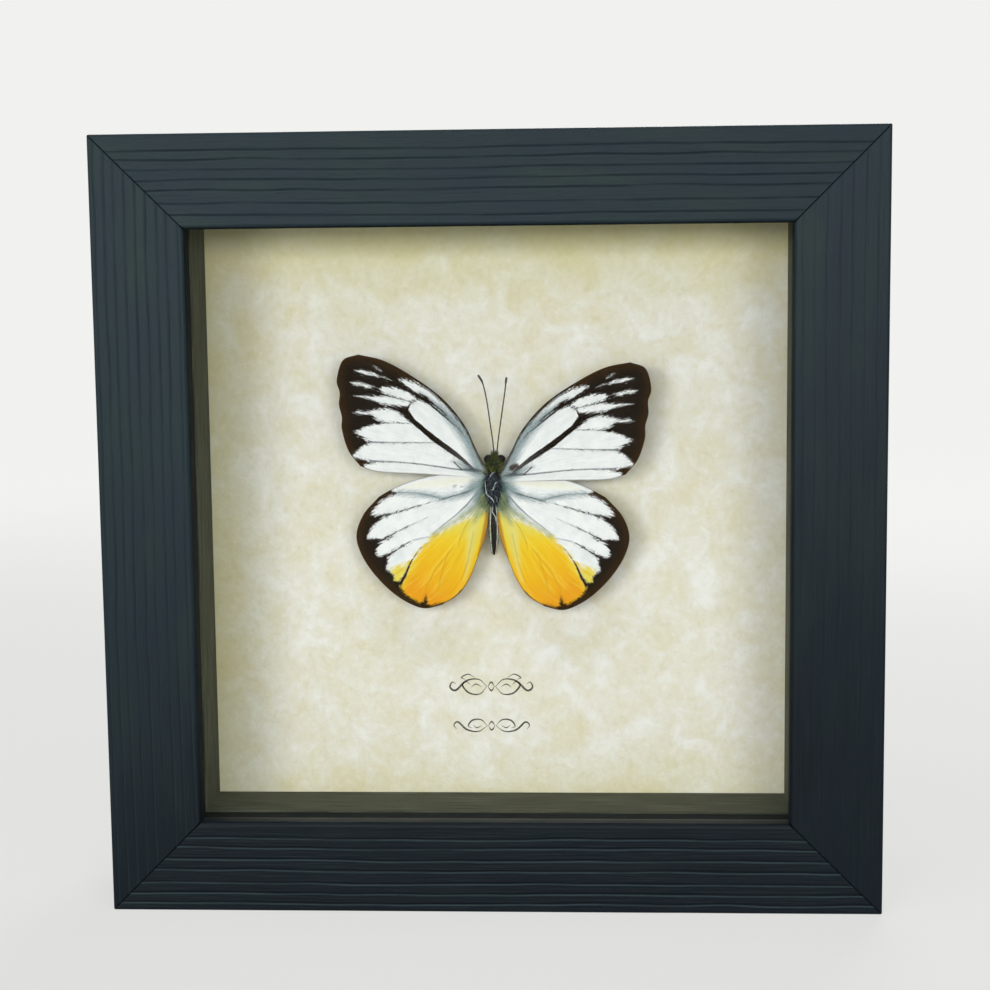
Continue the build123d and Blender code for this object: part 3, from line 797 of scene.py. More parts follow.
def wing_layers(pattern, spots, flat, s, t):
    """The values that the material needs at each point."""
    light = deepest(flat, depth_inside, pattern["areas"])
    if pattern["streaks"]:
        light = np.maximum(light, deepest(flat, reach, pattern["streaks"]))
    rim = [*smooth_line(pattern["costa"]), *smooth_line(pattern["margin"]), *smooth_line(pattern["inner"])[::-1]]
    nowhere = np.full(len(flat), -9.0)
    yellow = deepest(flat, depth_inside, pattern["yellow"]) if pattern["yellow"] else nowhere
    field = depth_inside(flat, pattern["yellow"][0]) if pattern["yellow"] else nowhere
    pale, fold = (deepest(flat, reach, pattern[n]) if pattern[n] else nowhere for n in ("pale", "fold"))
    edge = -reach(flat, [(*p, 0.0) for p in rim[::2]])
    warm = np.clip((np.hypot(flat[:, 0] - 3, flat[:, 1] + 3) - 5) / 17, 0, 1) * np.clip(field / 2.2 + 0.1, 0, 1)
    return np.column_stack([
        np.clip(light, -6, 3), np.clip(deepest(flat, reach, pattern["dark"]), -2, 2),
        np.clip(deepest(flat, reach, pattern["veins"]), -2, 2),
        np.clip(deepest(flat, reach, pattern["dusted"]), -3, 2),
        np.clip(deepest(flat, reach, spots), -3, 2) if spots else nowhere,
        np.clip(yellow, -3, 12), warm, np.clip(pale, -3, 2), np.clip(fold, -3, 2), edge, s * 30, t * 24,
    ])


def build_wing(name):
    """A thin shell with veins and pleats, set at its place beside the thorax."""
    pattern, side, (swing, across, up), level = SETTINGS[name]
    mesh = bmesh.new()
    layers = [mesh.verts.layers.float.new(layer) for layer in LAYERS]
    bmesh.ops.create_grid(mesh, x_segments=250, y_segments=110, size=0.5)
    verts = list(mesh.verts)
    shares = np.array([v.co[:2] for v in verts]) + 0.5
    s, t = shares[:, 0], shares[:, 1]
    flat = spread(pattern, s, t)
    values = wing_layers(pattern, SPOTS.get(name, []), flat, s, t)
    ribs = deepest(flat, reach, [[(u, v, 0.0) for u, v, _ in line] for line in pattern["veins"] + pattern["dark"]])
    relief = 0.09 * np.exp(-((ribs / 0.16) ** 2)) - 0.10 * (1 - np.exp(-((ribs / 1.3) ** 2)))
    relief += 0.30 * np.sin(math.pi * s) * np.sin(math.pi * t) + 0.05 * np.sin(t * 38 + 3 * s) * s
    swung = Matrix.Rotation(math.radians(-swing), 4, "Y") @ Matrix.Rotation(math.radians(-3), 4, "Z")
    mirror = Matrix.Diagonal((side, 1, 1, 1))
    seat = Matrix.Translation((specimen[0] + across, level, specimen[1] + up)) @ mirror @ swung
    for vert, (u, v), rise, row in zip(verts, flat, relief, values):
        vert.co = seat @ Vector((u, -0.30 - rise, v))
        for layer, value in zip(layers, row):
            vert[layer] = value
    bmesh.ops.recalc_face_normals(mesh, faces=mesh.faces)
    if sum(face.normal.y for face in list(mesh.faces)[::97]) > 0:
        bmesh.ops.reverse_faces(mesh, faces=mesh.faces)
    bmesh.ops.solidify(mesh, geom=list(mesh.faces), thickness=THICKNESS)
    bmesh.ops.recalc_face_normals(mesh, faces=mesh.faces)
    return mesh


# %% [markdown]
# One group colours all four wings. White and cream scales get a faint cloudiness, the dark border
# is nearly black beside the light areas and brown towards the wing's edge, and the yellow runs from
# lemon at the body to orange at the margin. Blue-grey dust lies over the roots.

# %% Scales
scales, given, result = new_group(
    "wing scales", {layer: ("Float", 0.0) for layer in LAYERS}, {"Colour": "Color", "Height": "Float"},
)
value = given.outputs
place = add(scales, "CombineXYZ", {"X": value["along"], "Y": value["across"]}).outputs[0]
rows = cloud(stretched(place, 1.9, 0.40, 1), 1.0, detail=3.0, rough=0.66)
tufts = cloud(stretched(place, 2.8, 0.9, 1), 1.0, detail=2.0, rough=0.6)
fray = about(rows, 3.2)
fray = calc("ADD", about(tufts, 0.6), fray)
grains = cloud(stretched(place, 0.34, 0.17, 1), 1.0, detail=2.0)
streaks = cloud(stretched(place, 9.0, 0.7, 1), 1.0, detail=4.0, rough=0.65)
soft = cloud(place, 2.2, detail=2.0)
white = ramp(soft, (0.30, "#dfe4e1"), (0.55, "#e8ece9"), (0.75, "#edefe9"))
white = tinted(white, fade(streaks, 0.52, 0.36), 0.22, "#c6cfd3")
white = tinted(white, fade(grains, 0.50, 0.30), 0.12, "#b9c3c4")
warmth = calc("ADD", about(rows, 0.5), value["warm"])
yellow = ramp(warmth, (0.02, "#ddcf50"), (0.26, "#e6c428"), (0.58, "#e6b71d"),
              (0.86, "#e5aa1c"), (1.0, "#e39c1a"))
yellow = tinted(yellow, fade(streaks, 0.52, 0.70), 0.42, "#d98f1c")
yellow = tinted(yellow, fade(streaks, 0.48, 0.34), 0.40, "#e6d662")
yellow = blend(fade(value["pale"], -0.6, 1.0), yellow, rgb("#d9d070"))
# Painted shade of the turned-down inner margin, amber-brown over the yellow.
fold = fade(value["fold"], -0.25, 0.30)
yellow = tinted(yellow, fold, 0.85, "#a8701f")
white = tinted(white, fade(value["pale"], -0.5, 0.6), 0.7, "#e5e5cf")
on_yellow = fade(calc("MULTIPLY_ADD", fray, 1.2, value["yellow"]), -0.7, 0.7)
colour = blend(on_yellow, white, yellow)
thin_line = fade(calc("MULTIPLY_ADD", fray, 0.10, value["vein"]), -0.20, 0.08)
line_colour = blend(on_yellow, rgb("#808c93"), rgb("#b98728"))
colour = blend(calc("MULTIPLY", thin_line, 0.50), colour, line_colour)
core = calc("MULTIPLY", fade(value["vein"], -0.05, 0.05), fade(on_yellow, 1.0, 0.4))
colour = tinted(colour, core, 0.55, "#454f55")
dust = fade(calc("MULTIPLY_ADD", fray, 0.7, value["dusted"]), -0.9, 1.0)
dust_tone = blend(fade(value["yellow"], -2.6, -0.3), rgb("#869a9b"), rgb("#a9b079"))
colour = blend(calc("MULTIPLY", dust, 0.88), colour, dust_tone)
speckle = calc("MULTIPLY", fade(grains, 0.50, 0.60), dust)
colour = tinted(colour, speckle, 0.62, "#36434a")
smudge = fade(calc("MULTIPLY_ADD", fray, 0.5, value["smudge"]), -0.25, 0.35)
colour = tinted(colour, smudge, 0.97, "#3d322d")
rim = fade(calc("MULTIPLY_ADD", fray, 1.2, value["edge"]), 2.6, 0.3)
brown = ramp(rim, (0.0, "#150e05"), (0.5, "#1b1206"), (1.0, "#2d1d08"))
brown = tinted(brown, fade(grains, 0.58, 0.75), 0.35, "#4b4030")
ragged = calc("ADD", about(grains, 1.5), calc("MULTIPLY", fray, 0.62))
dark = fade(calc("ADD", ragged, value["light"]), 0.22, -0.22)
thin = calc("MULTIPLY_ADD", ragged, 0.16, value["dark"])
dark = calc("MAXIMUM", dark, fade(thin, -0.07, 0.07))
beyond_root = fade(calc("MULTIPLY_ADD", fray, 2.5, value["along"]), 1.0, 12.0)
dark = calc("MULTIPLY", dark, calc("MULTIPLY_ADD", beyond_root, 0.14, 0.86))
colour = blend(dark, colour, brown)
rim_line = calc("MULTIPLY", fade(value["edge"], 0.30, 0.05), fade(value["along"], 4.0, 14.0))
colour = tinted(colour, rim_line, 0.55, "#3c2c16")
scales.links.new(colour, result.inputs["Colour"])
height = calc("MULTIPLY_ADD", grains, 0.5, rows)
scales.links.new(height, result.inputs["Height"])

for name, kind in (("forewing scales", "forewing"), ("hindwing scales", "hindwing")):
    _, tree, shader = new_material(name)
    values = {layer: stored(tree, layer) for layer in LAYERS}
    wing_group = place_group(tree, scales, **values)
    finish(
        shader, wing_group["Colour"],
        calc("MULTIPLY_ADD", wing_group["Height"], 0.15, 0.62), 0.04, wing_group["Height"], 0.00003,
    )

for name in SETTINGS:
    kind = name.split("_")[0]
    mesh = build_wing(name)
    print(name, "faces:", len(mesh.faces))
    finish_piece(f"scaled_{name}", mesh, "case", [name], material=f"{kind} scales")


# %% [markdown]
# ## The body
# Head, thorax and abdomen are smooth swellings under a coat of hair. A rounded piece starts as a
# sphere whose vertices are moved: the abdomen gets its rings that way, and a spiral of noise keeps
# the shapes from looking turned on a lathe. The antennae are tubes: a circle is repeated along a
# line of points, and every copy gets the radius that belongs there.

# %% Rounded bodies and tubes
SPECIMEN = Vector((specimen[0], thorax_y, specimen[1]))


def rounded(centre, halves, rings=0):
    """A closed rounded piece with these half sizes, and with this many rings around Z."""
    mesh = bmesh.new()
    bmesh.ops.create_uvsphere(mesh, u_segments=40, v_segments=40, radius=1)
    for vert in mesh.verts:
        fold = 1 - 0.06 * abs(math.sin(math.pi * rings * (vert.co.z + 1) / 2)) if rings else 1.0
        fold += 0.05 * noise.noise(vert.co * 2.1 + Vector((rings, 0, 0)))
        place = Vector((vert.co.x * halves[0] * fold, vert.co.y * halves[1] * fold, vert.co.z * halves[2]))
        vert.co = SPECIMEN + Vector(centre) + place
    bmesh.ops.recalc_face_normals(mesh, faces=mesh.faces)
    return mesh


def tube(points, radii, sides=8, looped=False):
    """A round tube along points that lie in one upright plane."""
    mesh = bmesh.new()
    ring = bmesh.ops.create_circle(mesh, segments=sides, radius=1)["verts"]
    edges = list(mesh.edges)
    last = len(points) - 1
    drawn_out(mesh, ring, edges, (0, 0, 1), last, capped=not looped)
    for vert in mesh.verts:
        i = round(vert.co.z)
        before, after = (points[(i - 1) % last], points[(i + 1) % last]) if looped else (
            points[max(i - 1, 0)], points[min(i + 1, last)])
        sideways = (after - before).normalized().cross(Vector((0, 1, 0)))
        vert.co = points[i] + (sideways * vert.co.x + Vector((0, vert.co.y, 0))) * radii[i]
    bmesh.ops.remove_doubles(mesh, verts=mesh.verts, dist=0.0005)
    bmesh.ops.recalc_face_normals(mesh, faces=mesh.faces)
    return mesh


ANTENNAE = {
    "left": [(0.22, 6.0), (0.02, 9.0), (-0.52, 13.0), (-1.2, 17.9), (-1.95, 21.2), (-2.9, 22.9)],
    "right": [(0.74, 6.0), (1.0, 9.0), (1.72, 14.0), (2.5, 19.2), (2.72, 21.0), (2.9, 22.4)],
}
PARTS = {
    "head": ((0.3, 0, 5.0), (1.5, 1.25, 1.50), 0),
    "thorax": ((0, 0, 0), (2.05, 2.05, 3.80), 0),
    "abdomen": ((0, 0, -8.0), (0.92, 0.92, 6.0), 9),
}


# %% [markdown]
# The hairs are all copies of one thin, tapered thread. Each is set on the surface of its part, leans
# with the coat, bends over its length and carries its own tint. The thorax is blue-black with pale
# curls on top and a teal fringe at the wings' roots, the head is olive, and the abdomen is dark with
# a pale seam along either side.

# %% Hair
random.seed(11)
FRINGE = ("#8fb0a6", "#6b9390", "#a9c4b4", "#4a6a66")
GREEN = ("#a9bd84", "#c6d09c", "#7f9a6a", "#d5dcb4", "#5f7a55")
OLIVE = ("#76833a", "#3a421c", "#99a556", "#171b0a")
COLLAR = ("#76833a", "#2c3315", "#0e1108", "#8b9848")
SEAM = ("#f2f2dc", "#dfe3c0", "#fafaf0")
FLANK = ("#3a3924", "#55543a", "#23221a")
HAIR_COATS = [
    # part, count, height from..to, turn from..to, length, radius, lean, curl, tints
    ("thorax", 800, (-0.95, 0.86), (205, 335), (0.5, 0.9), 0.07, (0, -0.1, -0.9), 0.3,
     ("#0b1116", "#16222f", "#2b3d50", "#07090c", "#4a5c6b")),
    ("thorax", 30, (-0.75, 0.65), (220, 320), (1.0, 1.8), 0.055, (0, -0.25, -0.8), 1.1, ("#94a5aa", "#6c818a")),
    ("thorax", 420, (-0.9, 0.75), (172, 212), (0.9, 1.7), 0.05, (-0.35, -0.2, -0.75), 0.5, FRINGE),
    ("thorax", 420, (-0.9, 0.75), (328, 368), (0.9, 1.7), 0.05, (0.35, -0.2, -0.75), 0.5, FRINGE),
    ("thorax", 330, (-0.97, -0.2), (170, 225), (1.4, 2.8), 0.05, (-0.35, -0.1, -1.0), 0.4, GREEN),
    ("thorax", 330, (-0.97, -0.2), (315, 370), (1.4, 2.8), 0.05, (0.35, -0.1, -1.0), 0.4, GREEN),
    ("thorax", 240, (0.82, 0.99), (180, 360), (0.7, 1.2), 0.08, (0, -0.1, 0.4), 0.6,
     ("#5f6b30", "#23280f", "#0d1008", "#8b9848")),
    ("thorax", 170, (0.70, 0.95), (165, 220), (1.0, 1.7), 0.07, (-0.7, -0.1, 0.3), 0.6, OLIVE),
    ("thorax", 170, (0.70, 0.95), (320, 375), (1.0, 1.7), 0.07, (0.7, -0.1, 0.3), 0.6, OLIVE),
    ("head", 300, (-0.9, 0.30), (180, 360), (0.5, 0.9), 0.08, (0, 0, 0.1), 0.5,
     ("#5f6b2e", "#1f240f", "#0b0d06", "#7c883e")),
    ("head", 150, (-0.85, -0.15), (165, 215), (0.7, 1.3), 0.07, (-0.8, -0.1, -0.3), 0.5, COLLAR),
    ("head", 150, (-0.85, -0.15), (325, 375), (0.7, 1.3), 0.07, (0.8, -0.1, -0.3), 0.5, COLLAR),
    ("head", 160, (0.20, 0.95), (235, 305), (0.4, 0.8), 0.08, (0, -0.2, 0.5), 0.5,
     ("#6f7b35", "#2c3315", "#0e1108", "#5f6b30")),
    ("head", 110, (0.72, 0.98), (215, 325), (0.9, 1.6), 0.05, (0, -0.1, 1.8), 0.3, ("#3c431f", "#24290f", "#6c7638")),
    ("abdomen", 420, (-0.95, 0.9), (236, 306), (0.35, 0.6), 0.05, (0, -0.1, -1.2), 0.3,
     ("#100f0a", "#1c1b12", "#2f2e1c", "#3d3b24")),
    ("abdomen", 220, (-0.95, 0.9), (175, 218), (0.3, 0.5), 0.05, (-0.1, -0.1, -1.4), 0.3, FLANK),
    ("abdomen", 220, (-0.95, 0.9), (330, 365), (0.3, 0.5), 0.05, (0.1, -0.1, -1.4), 0.3, FLANK),
    ("abdomen", 300, (-0.95, 0.92), (219, 232), (0.35, 0.6), 0.065, (-0.1, -0.5, -1.6), 0.2, SEAM),
    ("abdomen", 230, (-0.95, 0.92), (314, 324), (0.35, 0.6), 0.055, (0.1, -0.5, -1.6), 0.2, SEAM),
]
THREAD_STEPS = 4


def thread():
    """One straight hair of length 1 and radius 1 along Z, as a mesh to copy."""
    mesh = bmesh.new()
    ring = bmesh.ops.create_circle(mesh, segments=3, radius=1)["verts"]
    edges = list(mesh.edges)
    drawn_out(mesh, ring, edges, (0, 0, 1 / THREAD_STEPS), THREAD_STEPS)
    bmesh.ops.recalc_face_normals(mesh, faces=mesh.faces)
    data = bpy.data.meshes.new("thread")
    mesh.to_mesh(data)
    mesh.free()
    return data


def grow(mesh, model, root, heading, curl, length, radius, tint, layers):
    """Adds one bent hair to a mesh."""
    first = len(mesh.verts)
    mesh.from_mesh(model)
    mesh.verts.ensure_lookup_table()
    side = heading.cross(Vector((0.3, 0.9, 0.2))).normalized()
    other = heading.cross(side)
    for vert in mesh.verts[first:]:
        x, y, share = vert.co
        thick = radius * (1 - 0.85 * share)
        spine = root + heading * (length * share) + curl * (length * share * share)
        vert.co = spine + side * (x * thick) + other * (y * thick)
        vert[layers[0]], vert[layers[1]] = tint, share


def coat(part):
    """All the hairs of one part of the body."""
    centre, halves, _ = PARTS[part]
    middle = SPECIMEN + Vector(centre)
    mesh = bmesh.new()
    layers = [mesh.verts.layers.float_color.new("tint"), mesh.verts.layers.float.new("tip")]
    for owner, count, heights, turns, lengths, radius, lean, curl, tints in HAIR_COATS:
        for _ in range(count if owner == part else 0):
            height = random.uniform(*heights)
            turn = math.radians(random.uniform(*turns))
            waist = math.sqrt(1 - height * height)
            ball = Vector((waist * math.cos(turn), waist * math.sin(turn), height))
            root = middle + Vector([0.97 * b * h for b, h in zip(ball, halves)])
            outward = Vector([b / h for b, h in zip(ball, halves)]).normalized()
            sway = Vector([random.gauss(0, 0.22) for _ in range(3)])
            heading = (outward * 0.55 + Vector(lean) + sway).normalized()
            bend = Vector([random.gauss(0, 0.5) for _ in range(3)]) * curl
            tint = rgb(random.choice(tints))
            grow(mesh, model, root, heading, bend, random.uniform(*lengths), radius, tint, layers)
    bmesh.ops.recalc_face_normals(mesh, faces=mesh.faces)
    return mesh


# %% Finishes of the body
_, tree, shader = new_material("insect hair")
tint = stored(tree, "tint", "Color")
tip = stored(tree, "tip")
mottle = cloud(millimetres(tree), 0.4, detail=2.0)
# Painted shade: each hair is painted darker towards its root, deep in the coat.
tint = tinted(tint, fade(tip, 0.5, 0.0), 0.35, "#090d0c")
tint = tinted(tint, fade(mottle, 0.5, 0.3), 0.35, "#0a0f12")
finish(shader, tint, 0.6, 0.15)

_, tree, shader = new_material("insect skin")
place = millimetres(tree)
plates = cloud(stretched(place, 0.5, 0.5, 0.25), 1.0, detail=4.0)
finish(shader, ramp(plates, (0.3, "#08090a"), (0.7, "#171b1b")), 0.55, 0.2, plates, 0.00005)

_, tree, shader = new_material("insect eye surface")
place = millimetres(tree)
facets = add(tree, "TexVoronoi", {"Vector": place, "Scale": 9.0}).outputs["Distance"]
bands = cloud(stretched(place, 2.0, 2.0, 0.3), 1.0)
finish(shader, ramp(bands, (0.35, "#040302"), (0.65, "#120d08")), 0.3, 0.12, facets, 0.00003)

_, tree, shader = new_material("antenna surface")
place = millimetres(tree)
height = add(tree, "SeparateXYZ", {0: place}).outputs["Z"]
joints = calc("SINE", calc("MULTIPLY", height, 2 * math.pi / 0.32))
shade = calc("MULTIPLY_ADD", cloud(place, 0.8), 0.8, calc("MULTIPLY", joints, 0.12))
finish(shader, ramp(shade, (0.25, "#0d0b08"), (0.6, "#2a2418")), 0.5, height=joints, depth=0.00002)

model = thread()
for part, (centre, halves, rings) in PARTS.items():
    mesh = rounded(centre, halves, rings)
    finish_piece(f"rounded_{part}", mesh, "case", [part], material="insect skin")
    mesh = coat(part)
    print(part, "hair faces:", len(mesh.faces))
    finish_piece(f"{part}_hair", mesh, "case", material="insect hair")
bpy.data.meshes.remove(model)

mesh = rounded((-0.92, -0.15, 5.75), (0.93, 0.80, 0.93))
join(mesh, rounded((1.60, -0.15, 5.72), (0.93, 0.80, 0.93)))
finish_piece("round_eyes", mesh, "case", ["eyes"], material="insect eye surface")

for side, points in ANTENNAE.items():
    line = [SPECIMEN + Vector((u, 0, v)) for u, v in smooth_line(points, 14)]
    share = np.linspace(0, 1, len(line))
    radii = 0.135 + 0.04 * np.exp(-((share / 0.05) ** 2)) + 0.11 * np.exp(-(((share - 0.905) / 0.095) ** 4))
    radii[-1] = 0.05
    finish_piece(f"fine_antenna_{side}", tube(line, radii, 10), "case", [f"antenna_{side}"],
                 material="antenna surface")

# %% Pale strands over the coat
STRANDS = [
    # radius of the strand, then its places across and up
    (0.14, [(1.1, 1.36), (0.52, 1.02), (0.1, -0.07), (-0.15, -0.32)]),
    (0.14, [(-1.6, 1.53), (-1.49, 0.18), (-1.24, -1.16), (-0.49, -1.83), (0.02, -2.5), (0.18, -3.17)]),
    (0.11, [(-0.65, 2.2), (-0.23, 2.87), (0.45, 3.3)]),
    (0.13, [(-0.9, -4.26), (-0.32, -4.85), (0.27, -5.7), (0.52, -6.53), (0.49, -7.37)]),
    (0.11, [(1.0, -3.9), (0.80, -4.7), (0.72, -5.6)]),
    (0.09, [(0.6, -1.5), (0.77, -2.5), (0.95, -3.17)]),
    (0.08, [(1.6, -0.3), (1.66, -1.83)]),
    (0.09, [(-0.2, -3.4), (-0.1, -4.2), (-0.35, -5.0)]),
]


def over_coat(u, v):
    """A place just over the hair, at this place across and up."""
    depth = 0.0
    for (x, _, z), (a, b, c), _ in PARTS.values():
        depth = max(depth, b * math.sqrt(max(1 - ((u - x) / a) ** 2 - ((v - z) / c) ** 2, 0.04)))
    return SPECIMEN + Vector((u, -depth - 0.35, v))


_, tree, shader = new_material("pale strand")
tone = cloud(millimetres(tree), 0.8, detail=2.0)
finish(shader, ramp(tone, (0.35, "#66757a"), (0.65, "#ccd2ca")), 0.6, 0.1)
strands = bmesh.new()
for radius, points in STRANDS:
    line = [over_coat(u, v) for u, v in smooth_line(points, 8)]
    radii = radius * (0.25 + 0.75 * np.sin(np.pi * np.linspace(0, 1, len(line))) ** 0.6)
    join(strands, tube(line, radii, 6))
finish_piece("pale_strands", strands, "case", material="pale strand")


# %% [markdown]
# ## The printed ornament
# Below the butterfly the parchment carries a small print. It is a plain flourish in two rows: pairs
# of mirrored scrolls around a lozenge. Every stroke is a thin ribbon of ink that swells in the middle
# as a pen stroke does.

# %% Flourish
paper_front = paper_low.y / MM
INK_THICKNESS = 0.03
print_middle = -1.6


def stroke(mesh, points, width):
    """Adds a ribbon of ink that is widest in its middle."""
    line = smooth_line(points, 10)
    part = bmesh.new()
    bmesh.ops.create_grid(part, x_segments=len(line) - 1, y_segments=1, size=0.5)
    for vert in part.verts:
        i = round((vert.co.x + 0.5) * (len(line) - 1))
        share = i / (len(line) - 1)
        ahead = line[min(i + 1, len(line) - 1)] - line[max(i - 1, 0)]
        ahead = ahead / np.linalg.norm(ahead)
        half = width * (0.22 + 0.78 * math.sin(math.pi * share) ** 1.5) / 2
        u, v = line[i] + np.array([-ahead[1], ahead[0]]) * half * (1 if vert.co.y > 0 else -1)
        vert.co = (print_middle + u, paper_front - INK_THICKNESS, v)
    bmesh.ops.recalc_face_normals(part, faces=part.faces)
    bmesh.ops.solidify(part, geom=list(part.faces), thickness=INK_THICKNESS * 0.8)
    join(mesh, part)


ROWS = {
    39.4: [
        ([(0.9, 0.0), (2.6, 1.5), (5.2, 1.2), (7.4, -0.8), (8.6, -0.2), (8.2, 0.9), (7.4, 0.6)], 0.42),
        ([(0.9, 0.0), (2.4, -1.6), (4.6, -1.4), (6.0, 0.2), (5.2, 1.0), (4.4, 0.4)], 0.36),
        ([(2.0, -0.1), (3.2, 0.5), (4.2, -0.2)], 0.22),
        ([(3.4, 1.9), (4.8, 2.6), (6.2, 1.9), (5.4, 1.5)], 0.24),
    ],
    31.0: [
        ([(0.9, 0.0), (2.8, -1.2), (5.2, -0.8), (7.0, 0.8), (7.9, 0.2), (7.4, -0.7)], 0.38),
        ([(0.9, 0.0), (2.2, 1.3), (4.0, 1.2), (4.9, 0.0), (4.1, -0.5)], 0.32),
        ([(2.0, 0.1), (3.1, -0.4), (3.9, 0.2)], 0.2),
    ],
}
LOZENGE = [[(-0.7, 0.0), (0.0, 0.9), (0.7, 0.0)], [(-0.7, 0.0), (0.0, -0.9), (0.7, 0.0)]]
mesh = bmesh.new()
for height, scrolls in ROWS.items():
    for points, width in scrolls:
        for side in (-1, 1):
            stroke(mesh, [(side * u, height + v) for u, v in points], width)
    for points in LOZENGE:
        stroke(mesh, [(u, height + v) for u, v in points], 0.3)
bmesh.ops.recalc_face_normals(mesh, faces=mesh.faces)
print("flourish faces:", len(mesh.faces))

_, tree, shader = new_material("printing ink")
spread_ink = cloud(millimetres(tree), 0.25, detail=3.0)
finish(shader, ramp(spread_ink, (0.3, "#3c3b33"), (0.7, "#5a5849")), 0.8)
finish_piece("printed_flourish", mesh, "case", material="printing ink")


# %% [markdown]
# ## Hardware and boards on the back
# The hanger's ring is a smooth loop of wire. Each screw is a profile spun about its axis, and its
# cross recess is a set of faces pushed down into the head. The buttons and the strap are plain
# plates, so they keep their CAD shape under a brushed zinc finish.

# %% Ring and screws
ring_low, ring_high = (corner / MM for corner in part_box("hanger_ring"))
wire = 0.9
ring_y = (ring_low.y + ring_high.y) / 2
pivot_z = ring_high.z - wire
loop_radius = (ring_high.x - ring_low.x) / 2 - wire
drop = pivot_z - ring_low.z - wire - loop_radius


def ring_line():
    """Middle of the wire, all the way round: bar, corner, loop, corner."""
    bend = 1.1
    line = [(u, 0.0) for u in np.linspace(-loop_radius + bend, loop_radius - bend, 9)]
    quarter = np.linspace(0, math.pi / 2, 7)[1:]
    half = np.linspace(0, math.pi, 37)[1:]
    line += [(loop_radius - bend + bend * math.sin(t), -bend + bend * math.cos(t)) for t in quarter]
    line += [(loop_radius, z) for z in np.linspace(-bend, -drop, 4)[1:]]
    line += [(loop_radius * math.cos(t), -drop - loop_radius * math.sin(t)) for t in half]
    line += [(-loop_radius, z) for z in np.linspace(-drop, -bend, 4)[1:]]
    line += [(-loop_radius + bend - bend * math.cos(t), -bend + bend * math.sin(t)) for t in quarter]
    return [Vector((u, ring_y, pivot_z + v)) for u, v in line]


line = ring_line()
mesh = tube(line, [wire] * len(line), 20, looped=True)
finish_piece("wire_ring", mesh, "ring", ["hanger_ring"])


def screw(mesh, x, y, z):
    """Adds a pan-head screw that points into the frame, the underside of its head at y."""
    part = bmesh.new()
    dome = [(2.5, 0.15), (2.5, 0.7), (2.35, 1.0), (2.0, 1.25), (1.5, 1.40), (0.8, 1.49), (0.0, 1.5)]
    profile = [(0.0, -12.0), (0.5, -11.4), (1.3, -9.5), (1.3, 0.0), (2.35, 0.0), *dome]
    line = [part.verts.new((radius, height, 0)) for radius, height in profile]
    edges = [part.edges.new((a, b)) for a, b in zip(line, line[1:])]
    bmesh.ops.spin(
        part, geom=line + edges, cent=(0, 0, 0), axis=(0, 1, 0), angle=2 * math.pi, steps=40, use_merge=True,
    )
    bmesh.ops.remove_doubles(part, verts=part.verts, dist=0.001)
    for normal, offset in (((1, 0, 0), 0.28), ((1, 0, 0), 1.35), ((0, 0, 1), 0.28), ((0, 0, 1), 1.35)):
        for sign in (-1, 1):
            bmesh.ops.bisect_plane(
                part, geom=[*part.verts, *part.edges, *part.faces],
                plane_co=Vector(normal) * offset * sign, plane_no=normal,
            )
    arms = []
    for face in part.faces:
        middle = face.calc_center_median()
        across, up = sorted((abs(middle.x), abs(middle.z)))
        if middle.y > 0.9 and across < 0.28 and up < 1.35:
            arms.append(face)
    pushed = bmesh.ops.extrude_face_region(part, geom=arms)["geom"]
    for vert in [v for v in pushed if isinstance(v, bmesh.types.BMVert)]:
        reach_out = math.hypot(vert.co.x, vert.co.z)
        vert.co.y = 0.35 + 0.45 * min(reach_out / 1.35, 1.0)
    bmesh.ops.delete(part, geom=[f for f in arms if f.is_valid], context="FACES")
    bmesh.ops.recalc_face_normals(part, faces=part.faces)
    turn = Matrix.Rotation(random.uniform(0, 1.5), 4, "Y")
    bmesh.ops.transform(part, matrix=Matrix.Translation((x, y, z)) @ turn, verts=part.verts)
    join(mesh, part)


low, high = (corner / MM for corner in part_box("turn_button_screws"))
pivot_x = high.x - 2.5
mesh = bmesh.new()
for x in (-pivot_x, pivot_x):
    for z in (low.z + 2.5, high.z - 2.5):
        screw(mesh, x, high.y - 1.5, z)
finish_piece("pan_head_screws", mesh, "case", ["turn_button_screws"], smooth=False)
low, high = (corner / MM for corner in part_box("hanger_screw"))
mesh = bmesh.new()
screw(mesh, 0, high.y - 1.5, (low.z + high.z) / 2)
finish_piece("hanger_pan_head", mesh, "case", ["hanger_screw"], smooth=False)

# %% Metal and board finishes
_, tree, shader = new_material("zinc plate")
place = millimetres(tree)
scratches = cloud(stretched(place, 0.25, 0.25, 9.0), 1.0, detail=4.0, rough=0.7)
spangle = cloud(place, 3.0, detail=2.0)
zinc = ramp(spangle, (0.3, "#9fa3a4"), (0.7, "#b7bbba"))
tarnish = fade(cloud(place, 5.0, detail=5.0), 0.58, 0.75)
shader.inputs["Metallic"].default_value = 1.0
finish(
    shader, blend(calc("MULTIPLY", tarnish, 0.5), zinc, rgb("#7d7564")),
    calc("MULTIPLY_ADD", scratches, 0.3, 0.22), height=scratches, depth=0.00002,
)
for name in ("wire_ring", "pan_head_screws", "hanger_pan_head"):
    bpy.data.objects[name].data.materials.append(bpy.data.materials["zinc plate"])
buttons = [name for name in nodes if name.startswith("turn_button") and name != "turn_button_screws"]
dress("zinc plate", *buttons, "hanger_strap", "corner_v_nails")

